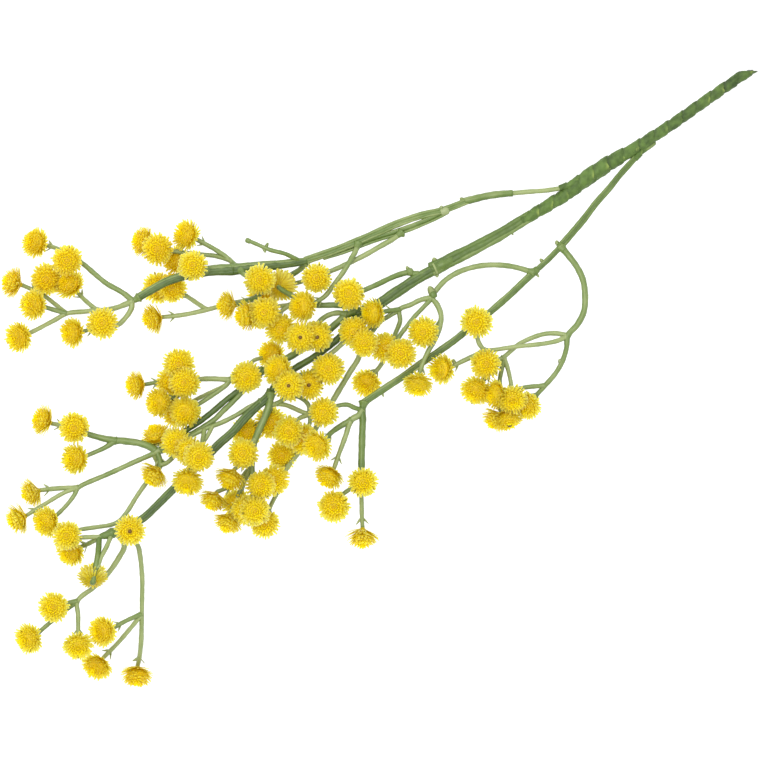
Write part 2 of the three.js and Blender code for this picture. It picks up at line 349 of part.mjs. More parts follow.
    ["F18", 0.85, 0.85, [[267.4, -50, 13.4], [272, -54, 8.6],
      [276.3, -59.3, 5.4]], [0.01, -0.17, 0.98]],
  ],
  spray_a4: [
    ["K21", 1.1, 0.95, [[240.6, -46.6, 24.1], [240.3, -44.4, 26.4], [238.6, -41.8, 28.8],
      [235.8, -38.8, 31]], [-0.05, 0.05, 1]],
  ],
  spray_a5: [
    ["F22", 1.1, 0.95, [[241.8, -49.8, 22.2], [242.4, -53.6, 20.6], [245.8, -61.6, 18.6],
      [251.1, -70.9, 17.6]], [0.44, -0.55, 0.71]],
    ["side arm", 1, 0.95, [[242.4, -53.6, 20.6], [247, -58.6, 18], [252, -62.4, 17.4],
      [257, -66.4, 17.2], [262.6, -71, 16.8]], []],
    ["F23", 0.95, 0.9, [[262.6, -71, 16.8], [264.8, -72.8, 16.8],
      [266.6, -74.2, 17.2]], [0.2, -0.15, 0.97]],
    ["F24", 0.9, 0.85, [[262.6, -71, 16.8], [265, -74.4, 13.4],
      [268.4, -78.2, 10.8]], [0.6, -0.65, 0.35]],
    ["F21", 0.9, 0.85, [[257, -66.4, 17.2], [260, -66.8, 13.6],
      [260.9, -64.3, 10.6]], [0.57, -0.54, 0.62]],
  ],
  spray_a6: [
    ["F20", 1.1, 0.95, [[254.2, -55.5, 24.5], [254.8, -56.8, 27], [256.6, -59, 28.8],
      [257.6, -60, 29.6]], [0.03, -0.03, 1]],
  ],
  spray_a7: [
    ["hub", 1.2, 1.1, [[286.4, -60.9, 23.7], [289.2, -60.9, 23.6]], []],
    ["top arm", 1.2, 1.05, [[289.2, -60.9, 23.6], [291.6, -58.4, 23.8], [295, -56.6, 23.8],
      [300.6, -55.4, 24]], []],
    ["F25", 1, 0.9, [[300.6, -55.4, 24], [303.6, -57, 25.6], [305.8, -59.4, 27.4]], [0.05, -0.05, 1]],
    ["F26", 0.95, 0.9, [[300.6, -55.4, 24], [306, -57.4, 22.6], [311.6, -59.9, 22.4],
      [316.8, -61.7, 22.8]], [0.69, -0.34, 0.64]],
    ["mid arm", 1.25, 1.05, [[289.2, -60.9, 23.6], [293.4, -61.6, 22.8], [298, -62.6, 21.8],
      [304.4, -65.8, 20.4]], []],
    ["F28", 0.95, 0.9, [[304.4, -65.8, 20.4], [306.8, -71, 17.6], [308.1, -76.3, 15],
      [308.3, -79.7, 14]], [0.25, -0.66, 0.71]],
    ["east arm", 1.05, 1, [[304.4, -65.8, 20.4], [310, -68.4, 19.8], [317.5, -72, 19]], []],
    ["F27", 1, 0.9, [[317.5, -72, 19], [324, -72.4, 18.4], [332.2, -73, 17.6],
      [338.9, -73.8, 17]], [0.63, -0.14, 0.77]],
    ["F31", 1, 0.9, [[317.5, -72, 19], [321.4, -76.4, 19], [326.1, -81.7, 19.8]], [0.45, -0.35, 0.82]],
    ["F32", 0.95, 0.9, [[317.5, -72, 19], [319.6, -78, 15.6], [322.5, -85.4, 12.4],
      [327.9, -93.7, 9.6]], [0.67, -0.7, 0.24]],
    ["low arm", 1.2, 1.05, [[289.2, -60.9, 23.6], [290.4, -65, 22.6], [291.8, -68, 21.9],
      [294.9, -73.6, 20.2], [297.3, -80.4, 18.2], [300, -88.4, 15.6]], []],
    ["F29", 1, 0.9, [[300, -88.4, 15.6], [302, -90.6, 16.4], [304.2, -92, 18]], [0.08, -0.03, 1]],
    ["F30", 0.95, 0.9, [[300, -88.4, 15.6], [306, -89.6, 12.8], [312, -90, 11],
      [316.6, -90, 10]], [0.12, 0, 1]],
    ["F33", 1, 0.9, [[300, -88.4, 15.6], [302.6, -94, 11], [306, -99.7, 6.2],
      [310.6, -104.7, 1.9]], [0.51, -0.49, 0.71]],
  ],
};

// Which branch carries which sprays.
const CARRIES = {
  branch_a: ["spray_a1", "spray_a2", "spray_a3", "spray_a4", "spray_a5", "spray_a6", "spray_a7"],
  branch_b: ["spray_b1", "spray_b2", "spray_b3", "spray_b4", "spray_b5", "spray_b6", "spray_b7",
    "spray_b8", "spray_b9", "spray_b10", "spray_b11"],
  branch_c: ["spray_c1", "spray_c2", "spray_c3"],
};

// A seeded draw between 0 and 1, the same in every run.
let drawState = SEED;
function draw() {
  drawState = (drawState * 16807) % 2147483647;
  return drawState / 2147483647;
}

// The value at x on a line through points of [x, value].
function along(points, x) {
  const next = points.findIndex(([at]) => at >= x);
  if (next < 0) return points[points.length - 1][1];
  if (next === 0) return points[0][1];
  const [x0, v0] = points[next - 1];
  const [x1, v1] = points[next];
  return v0 + ((v1 - v0) * (x - x0)) / (x1 - x0);
}

// The triangles between two rings that may differ in their number of points: both are walked round
// together, and each triangle steps on along the ring that is behind.
function band(low, lowCount, high, highCount) {
  const faces = [];
  let i = 0;
  let j = 0;
  while (i < lowCount || j < highCount) {
    const stepLow = (i + 1) / lowCount <= (j + 1) / highCount && i < lowCount;
    const a = low + (i % lowCount);
    const b = high + (j % highCount);
    faces.push([a, stepLow ? low + ((i + 1) % lowCount) : high + ((j + 1) % highCount), b]);
    if (stepLow) i += 1;
    else j += 1;
  }
  return faces;
}

// A closed surface through rings of points, closed by a point at each end.
function skin(firstPole, rings, lastPole) {
  const vertices = [firstPole, ...rings.flat(), lastPole];
  const last = vertices.length - 1;
  const faces = rings[0].map((_, j) => [0, 1 + ((j + 1) % rings[0].length), 1 + j]);
  let low = 1;
  rings.slice(1).forEach((next, i) => {
    const high = low + rings[i].length;
    faces.push(...band(low, rings[i].length, high, next.length));
    low = high;
  });
  const top = rings[rings.length - 1].length;
  for (let j = 0; j < top; j += 1) faces.push([last, low + j, low + ((j + 1) % top)]);
  const geometry = new THREE.BufferGeometry();
  const numbers = vertices.flatMap((v) => v.toArray());
  geometry.setAttribute("position", new THREE.Float32BufferAttribute(numbers, 3));
  geometry.setIndex(faces.flat());
  return geometry;
}

function solidOf(geometry) {
  return new wasm.Manifold(new wasm.Mesh({
    numProp: 3,
    vertProperties: new Float32Array(geometry.getAttribute("position").array),
    triVerts: new Uint32Array(geometry.index.array),
  }));
}

function geometryOf(solid) {
  const mesh = solid.getMesh();
  const geometry = new THREE.BufferGeometry();
  geometry.setAttribute("position", new THREE.Float32BufferAttribute(mesh.vertProperties, 3));
  geometry.setIndex([...mesh.triVerts]);
  const flat = geometry.toNonIndexed();
  flat.computeVertexNormals();
  return flat;
}

// One body from several that meet: what fusing seals inside is filled, and loose scraps are dropped.
function fuse(solids) {
  const bodies = solids.reduce((whole, next) => whole.add(next)).decompose();
  return bodies.reduce((best, body) => (body.volume() > best.volume() ? body : best));
}

const vector = ([x, y, z]) => new THREE.Vector3(x, y, z);

// Two directions square to a line's direction.
function acrossOf(direction) {
  const side = Math.abs(direction.z) < 0.9 ? new THREE.Vector3(0, 0, 1) : new THREE.Vector3(1, 0, 0);
  const u = side.sub(direction.clone().multiplyScalar(side.dot(direction))).normalize();
  return [u, new THREE.Vector3().crossVectors(direction, u)];
}

// A ring of points round a centre: point j is at angle j, at the radius and the height that are asked for.
function ring(centre, direction, [u, v], count, radiusOf, heightOf = () => 0, turn = 0) {
  return Array.from({ length: count }, (_, j) => {
    const angle = turn + (2 * Math.PI * j) / count;
    return centre.clone()
      .addScaledVector(u, Math.cos(angle) * radiusOf(j))
      .addScaledVector(v, Math.sin(angle) * radiusOf(j))
      .addScaledVector(direction, heightOf(j));
  });
}

// The route with only the points where it bends.
function bendsOf(route) {
  const ends = new THREE.Line3(vector(route[0]), vector(route[route.length - 1]));
  const offLine = route.map((point) => {
    const at = vector(point);
    return at.distanceTo(ends.closestPointToPoint(at, true, new THREE.Vector3()));
  });
  const most = Math.max(...offLine);
  if (most < STRAIGHT_WITHIN) return [route[0], route[route.length - 1]];
  const bend = offLine.indexOf(most);
  return [...bendsOf(route.slice(0, bend + 1)), ...bendsOf(route.slice(bend)).slice(1)];
}

// A route's points, each with the stalk's radius there, which changes evenly from first to last.
function withRadii(route, firstRadius, lastRadius) {
  const last = route.length - 1;
  return route.map((point, i) => [...point, firstRadius + ((lastRadius - firstRadius) * i) / last]);
}

// The stalks of a spray as runs: a stalk that ends in a fork runs on as the first stalk that starts
// there, and the others that start there are side stalks.
function runsOf(stalks) {
  const runs = [];
  for (const [, firstRadius, lastRadius, route, facing] of stalks) {
    const points = withRadii(route, firstRadius, lastRadius);
    const goesOn = ({ end, facing: done }) => done.length === 0 && `${end}` === `${route[0]}`;
    const before = runs.find(goesOn);
    if (before) {
      before.points.push(...points.slice(1));
      before.end = route[route.length - 1];
      before.facing = facing;
    } else {
      if (runs.length > 0) points[0][3] *= FORK_SINK;
      runs.push({ points, end: route[route.length - 1], facing });
    }
  }
  return runs.map(({ points, facing }) => ({ points: bendsOf(points), facing }));
}

// The rings of a stalk, one at each of its points, and the way its last ring faces.
function stalkRings(points, sides) {
  const curve = new THREE.CatmullRomCurve3(points.map(vector), false, "centripetal");
  const directions = points.map((_, i) => curve.getTangent(i / (points.length - 1)));
  let [u, v] = acrossOf(directions[0]);
  const rings = points.map((point, i) => {
    u = u.clone().addScaledVector(directions[i], -u.dot(directions[i])).normalize();
    v = new THREE.Vector3().crossVectors(directions[i], u);
    return ring(vector(point), directions[i], [u, v], sides, () => point[3]);
  });
  return { rings, side: u };
}

// A stalk as a closed solid; its points are [x, y, z, radius].
function stalk(points, sides) {
  const { rings } = stalkRings(points, sides);
  return solidOf(skin(vector(points[0]), rings, vector(points[points.length - 1])));
}

// The petal layers of a floret, as rings that go on from its stalk: it flares from the stalk's tip to a
// ring of petal tips, with two smaller layers on top and a dip in the middle.
function floretRings(foot, facing, side) {
  const direction = vector(facing).normalize();
  const size = 1 + SIZE_SPREAD * (2 * draw() - 1);
  const turn = 0.4 * (draw() - 0.5);
  const centre = vector(foot);
  const u = side.clone().addScaledVector(direction, -side.dot(direction)).normalize();
  const across = [u, new THREE.Vector3().crossVectors(direction, u)];
  const rings = PETAL_LAYERS.map(([petals, tip, notch, tipHeight, notchHeight]) => {
    const radiusOf = (j) => size * (j % 2 === 0 ? tip : notch);
    const heightOf = (j) => size * (j % 2 === 0 ? tipHeight : notchHeight);
    return ring(centre, direction, across, 2 * petals, radiusOf, heightOf, turn);
  });
  return { rings, heart: centre.clone().addScaledVector(direction, size * FLORET_HEART) };
}

// One run of a spray, grown on into its floret where it has one.
function sprig({ points, facing }) {
  if (facing.length === 0) return stalk(points, STALK_SIDES);
  const { rings, side } = stalkRings(points, STALK_SIDES);
  const head = floretRings(points[points.length - 1], facing, side);
  return solidOf(skin(vector(points[0]), [...rings, ...head.rings], head.heart));
}

// The plugged end of a spray: the points of its first run, and which way it starts.
function plugOf(name) {
  const [{ points }] = runsOf(SPRAYS[name]);
  const start = vector(points[0]);
  return { start, direction: vector(points[1]).sub(start).normalize(), points };
}

// The raised socket on a branch that a spray is plugged into.
function collar(name) {
  const { start, direction, points } = plugOf(name);
  const wide = points[0][3] + FIT + COLLAR_WALL;
  const ends = [-COLLAR_DEPTH, COLLAR_REACH].map((far) => {
    return [...start.clone().addScaledVector(direction, far).toArray(), wide];
  });
  return stalk(ends, BRANCH_SIDES);
}

// Points moved back a little at their start and given more radius: the room that what they draw needs.
function roomOf(points) {
  const back = vector(points[0]).sub(vector(points[1])).setLength(FIT).add(vector(points[0]));
  const wider = points.map(([x, y, z, radius]) => [x, y, z, radius + FIT]);
  wider[0] = [...back.toArray(), wider[0][3]];
  return stalk(wider, BRANCH_SIDES);
}

const limbPoints = ([, firstRadius, lastRadius, route]) =>
  bendsOf(withRadii(route, firstRadius, lastRadius));

function branch(limbs, name) {
  const wood = limbs.map((limb) => stalk(limbPoints(limb), BRANCH_SIDES));
  const whole = fuse([...wood, ...CARRIES[name].map(collar)]);
  return CARRIES[name].reduce((left, spray) => left.subtract(roomOf(plugOf(spray).points)), whole);
}

// The wrapped stem. Its radius rises by a step where each turn of the tape starts and falls again to the
// next, and the turns climb round the stem, so the step is at x / pitch + angle / (2 pi) = whole number.
function tapeSleeve() {
  const curve = new THREE.CatmullRomCurve3(STEM_LINE.map(vector), false, "centripetal");
  const length = curve.getLength();
  const count = Math.round((length / TAPE_PITCH) * TAPE_RINGS_PER_TURN);
  const stations = Array.from({ length: count + 1 }, (_, i) => i / count);
  const rings = stations.map((share) => {
    const centre = curve.getPointAt(share);
    const direction = curve.getTangentAt(share);
    const radiusOf = (j) => {
      const turns = (share * length + TAPE_START) / TAPE_PITCH + j / TAPE_SIDES;
      return along(STEM_RADII, centre.x) + TAPE_STEP * (0.5 - (turns - Math.floor(turns)));
    };
    return ring(centre, direction, acrossOf(direction), TAPE_SIDES, radiusOf);
  });
  return solidOf(skin(curve.getPointAt(0), rings, curve.getPointAt(1)));
}

// The core wire's points, from before the cut to where the middle branch's root starts.
const WIRE_POINTS = withRadii([
  ...STEM_LINE.filter(([x]) => x < WIRE_END - 5),
  [WIRE_END - FIT, 1, 12.05],
], WIRE_RADIUS, WIRE_RADIUS);

// The tape laid over a branch's root where the root comes out of the stem.
const tapeOver = (route, rootRadius) =>
  stalk(withRadii(route, rootRadius + FIT + TAPE_OVER, rootRadius + FIT + TAPE_OVER), BRANCH_SIDES);

function tape() {
  const wrapped = fuse([
    tapeSleeve(),
    tapeOver([[48.6, 2, 6.3], ...BRANCH_C[0][3].slice(0, 2), [61, 3.9, 9.2]], BRANCH_C[0][1]),
    tapeOver([[86, -0.6, 14.2], ...BRANCH_A[0][3].slice(0, 2), [98.6, -2.1, 15.5]], BRANCH_A[0][1]),
  ]);
  const wirePast = [[-9, -2.1, 2.3, WIRE_RADIUS], ...WIRE_POINTS.slice(0, -1), [88, 1.1, 12.4, WIRE_RADIUS]];
  const roots = [BRANCH_A, BRANCH_B, BRANCH_C].map(([root]) => roomOf(limbPoints(root)));
  return [roomOf(bendsOf(wirePast)), ...roots].reduce((left, room) => left.subtract(room), wrapped);
}

function without(solid, block) {
  block.deleteAttribute("normal");
  block.deleteAttribute("uv");
  return solid.subtract(solidOf(mergeVertices(block)));
}

// What would reach below the surface is pressed flat on it.
const onSurface = (solid) => without(solid, new THREE.BoxGeometry(700, 500, 20).translate(200, 0, -10));

// What lies past the slanted cut, moved out by some millimetres, is taken off.
function cutOff(solid, out) {
  const past = new THREE.BoxGeometry(20, 40, 40).translate(10 + out, 0, 0);
  return without(solid, past.rotateZ(CUT_FACES).translate(...CUT_AT));
}

const part = new THREE.Group();
part.position.set(-ORIGIN_X, -ORIGIN_Y, 0);

function put(name, solid, colour, roughness = 0.6, metalness = 0) {
  const material = new THREE.MeshStandardMaterial({ color: colour, roughness, metalness });
  const mesh = new THREE.Mesh(geometryOf(solid), material);
  mesh.name = name;
  part.add(mesh);
}

const wire = stalk(bendsOf(WIRE_POINTS), BRANCH_SIDES);
put("stem_wire", cutOff(wire, WIRE_STANDS_OUT), COLOUR.steel, 0.4, 1);
put("stem_tape", onSurface(cutOff(tape(), 0)), COLOUR.tape, 0.75);
put("branch_a", branch(BRANCH_A, "branch_a"), COLOUR.green, 0.5);
put("branch_b", branch(BRANCH_B, "branch_b"), COLOUR.green, 0.5);
put("branch_c", branch(BRANCH_C, "branch_c"), COLOUR.green, 0.5);
for (const [name, stalks] of Object.entries(SPRAYS))
  put(name, onSurface(fuse(runsOf(stalks).map(sprig))), COLOUR.yellow, 0.6);

export default part;
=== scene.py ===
# %% [markdown]
# # An artificial gypsophila spray
# The real thing is a florist's filler spray. A steel wire runs up inside the stem, green floral tape is
# wound round it, and three moulded branches come out of the tape. Small forked sprays of thin stalks are
# plugged into sockets on the branches, and each stalk ends in a yellow pompom of strap petals.
# Everything here is drawn again, finer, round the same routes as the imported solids: a stalk could be a
# curve with a bevel, but a profile carried along a path as whole arrays keeps the exact thickness at
# every point and lets each vertex carry the numbers that its colour is made from.

import bpy
import numpy as np
from mathutils import Matrix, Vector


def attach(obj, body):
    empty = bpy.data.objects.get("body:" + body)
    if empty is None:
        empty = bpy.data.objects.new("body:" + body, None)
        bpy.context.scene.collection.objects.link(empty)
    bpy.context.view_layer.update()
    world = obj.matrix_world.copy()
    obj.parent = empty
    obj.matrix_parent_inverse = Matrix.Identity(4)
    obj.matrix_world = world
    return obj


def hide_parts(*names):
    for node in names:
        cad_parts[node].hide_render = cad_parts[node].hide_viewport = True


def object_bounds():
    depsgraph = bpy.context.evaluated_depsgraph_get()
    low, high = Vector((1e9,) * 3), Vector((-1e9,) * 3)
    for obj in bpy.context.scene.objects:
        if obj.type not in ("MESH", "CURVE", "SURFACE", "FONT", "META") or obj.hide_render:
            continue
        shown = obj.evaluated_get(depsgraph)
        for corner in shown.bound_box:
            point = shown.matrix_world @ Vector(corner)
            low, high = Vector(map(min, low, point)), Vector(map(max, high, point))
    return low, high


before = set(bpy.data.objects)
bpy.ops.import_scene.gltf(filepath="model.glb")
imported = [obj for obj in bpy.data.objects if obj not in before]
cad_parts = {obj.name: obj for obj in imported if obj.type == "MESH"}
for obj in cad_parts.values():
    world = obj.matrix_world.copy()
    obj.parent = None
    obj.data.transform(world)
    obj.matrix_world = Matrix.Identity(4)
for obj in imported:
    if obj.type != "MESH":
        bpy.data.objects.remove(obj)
CAD_BOX = [[float(c) for c in corner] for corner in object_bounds()]
print("box of the packed model in metres:", CAD_BOX)

# %% [markdown]
# ## Where things are
# The routes below are in millimetres, with the cut end of the stem near x = 0 and the flowers towards
# +x. The object's own origin is the middle of its box on the table, so every point is moved there, and
# turned into metres, in one place: when a mesh is made.

# %% Millimetres to the model's metres
ORIGIN = np.array([204.84, -11.3, 0.0])


def to_metres(points):
    """Each point, less the origin, divided by a thousand."""
    return (points - ORIGIN) / 1000


print("the routes' own zero, in the model's metres:", to_metres(np.zeros(3)))

# %% Routes of the stem and of the thick branches
# The stem's line is x, y, z, and its radii are given as x, radius. A limb is: name, first radius, last
# radius, points.
STEM_LINE = [
    [-7, -2, 2.3], [1, -1.8, 2.3], [20, -1, 4.4], [40, 0.1, 6.6], [57, 0.4, 8.6], [72, 0.6, 10.4],
    [85, 1, 12], [100, 1.6, 13.8], [114, 1.45, 15.4],
]
STEM_RADII = [[-7, 2.1], [20, 2.3], [45, 2.4], [60, 2.5], [80, 2.65], [98, 2.85], [114, 2.45]]
WIRE_RADIUS = 0.8
WIRE_END = [85.7, 1.0, 12.05]
LIMBS = {
    "branch_a": [
      ["root", 0.95, 1.1, [[90, -0.9, 14.9], [97, -1.5, 15.4], [104, -4.2, 15.9], [111, -7.8, 16.3],
        [120, -12.4, 16.8]]],
      ["sleeve", 1.5, 1.65, [[118.4, -11.6, 16.7], [124, -14.5, 17], [130, -17, 17.4],
        [138.6, -19.9, 18]]],
      ["second strand", 1.1, 1.15, [[147.6, -20.9, 18.2], [154, -21.4, 18.8], [161, -22.4, 19.2],
        [170.5, -24.3, 19.8], [182, -27.4, 20.3], [191.3, -29.3, 20.8], [201, -31.6, 21.3],
        [206, -33, 21.7]]],
      ["neck", 1.25, 1.5, [[136.6, -19.1, 17.9], [144, -20.2, 18.4], [150, -21.6, 18.9],
        [156, -23.7, 19.3], [165, -26.2, 19.9], [172, -27.5, 20.3], [189.4, -29.9, 21.2],
        [202, -32.2, 21.8], [214, -35, 22.1]]],
      ["back", 1.6, 2.6, [[213, -34.7, 22.1], [221, -38.2, 22.4], [232, -43.6, 22.8],
        [243.8, -49.3, 23]]],
      ["shoulder", 2.6, 2.1, [[243, -48.9, 23], [254, -54.8, 23.2], [264, -58.6, 23.4]]],
      ["far", 1.95, 1.75, [[262, -58, 23.4], [272, -60.3, 23.5], [280, -60.8, 23.6],
        [286.8, -60.9, 23.7]]],
      ["bare twig", 1, 0.85, [[215.6, -36, 22.4], [219.6, -42.4, 25], [224.4, -47.5, 25.4],
        [228, -52.6, 24.6], [231.4, -57.4, 23.4]]],
    ],
    "branch_b": [
      ["root", 1.75, 2, [[88, 1.1, 12.4], [100, 1.6, 13.8], [114, 1.45, 15.4], [119, 1.4, 16]]],
      ["trunk", 2, 2.6, [[116.4, 1.4, 15.7], [128, 1.5, 17.2], [140, 1, 18.6], [150, 0.2, 19.9],
        [160, -0.7, 21.1], [168, -1.5, 22]]],
      ["sleeve", 2.9, 3, [[162.6, -1, 21.3], [167, -1.4, 21.9]]],
      ["trunk after the sleeve", 2.3, 2.3, [[166, -1.3, 21.8], [176, -1.8, 22.8], [186, -1.6, 24],
        [196, -1.3, 25.1], [207, -2.8, 26.3]]],
      ["dark strand", 1.5, 1.5, [[204.6, -2, 26.1], [209, -1.2, 26.8], [213, 0.6, 27.5], [220, 2.4, 28.3],
        [230, 3.6, 29.4], [245, 3.6, 30.8], [254, 4.8, 31.7], [258.4, 7, 32.1]]],
      ["light strand", 1.6, 1.5, [[204.6, -3, 26.1], [210, -4.6, 26.8], [216, -3.9, 27.4], [222, -3, 28],
        [232, -2.3, 29], [241, -2.1, 29.8], [250, -2.6, 30.4], [258, -3, 30.8], [264, -2, 31],
        [270, -0.6, 31]]],
      ["upper limb", 1.7, 1.5, [[257.4, 6.2, 32], [260, 7.9, 32.4], [266, 9, 33], [274, 10.6, 33.8],
        [281, 12.8, 34.2], [290, 14.4, 35], [300, 16.9, 35.6], [310, 18.8, 36.2], [320, 21.1, 36.8],
        [330, 23.4, 37.2], [338, 24.7, 37.6], [347, 24, 38]]],
      ["lower limb", 1.25, 1.3, [[268, -1.6, 31], [275, -1.1, 31], [285, 0.3, 31], [292, 1, 31.1],
        [301, 1.2, 31.2], [312.2, 2.6, 31.6]]],
      ["light strand of the lower limb", 1.15, 1.2, [[266, -1, 31], [275, 1.4, 31.2], [281, 2.6, 31.2],
        [287, 3.9, 31.2], [299, 3.8, 31.3], [311, 3, 31.6]]],
    ],
    "branch_c": [
      ["root", 0.95, 1.35, [[51.5, 2.3, 6.9], [57, 2.9, 8.1], [64, 4.6, 10], [72, 6.9, 11.8],
        [80, 9.6, 13], [90, 12.7, 14.6], [100, 16.4, 16.4], [112.7, 20.2, 18.6]]],
      ["trunk", 1.3, 1.3, [[111.6, 20, 18.4], [120, 22.2, 19.8], [129.5, 23.8, 21]]],
      ["far trunk", 1.5, 1.5, [[128, 23.6, 20.8], [140, 26, 22.6], [150, 27.8, 24], [160, 29.2, 25.3],
        [170, 30.2, 26.5], [180, 31.2, 27.6], [192, 31.6, 28.9], [205, 32.4, 30], [216, 32.7, 31],
        [226, 33, 32]]],
    ],
}
print("limbs:", {name: len(limbs) for name, limbs in LIMBS.items()})

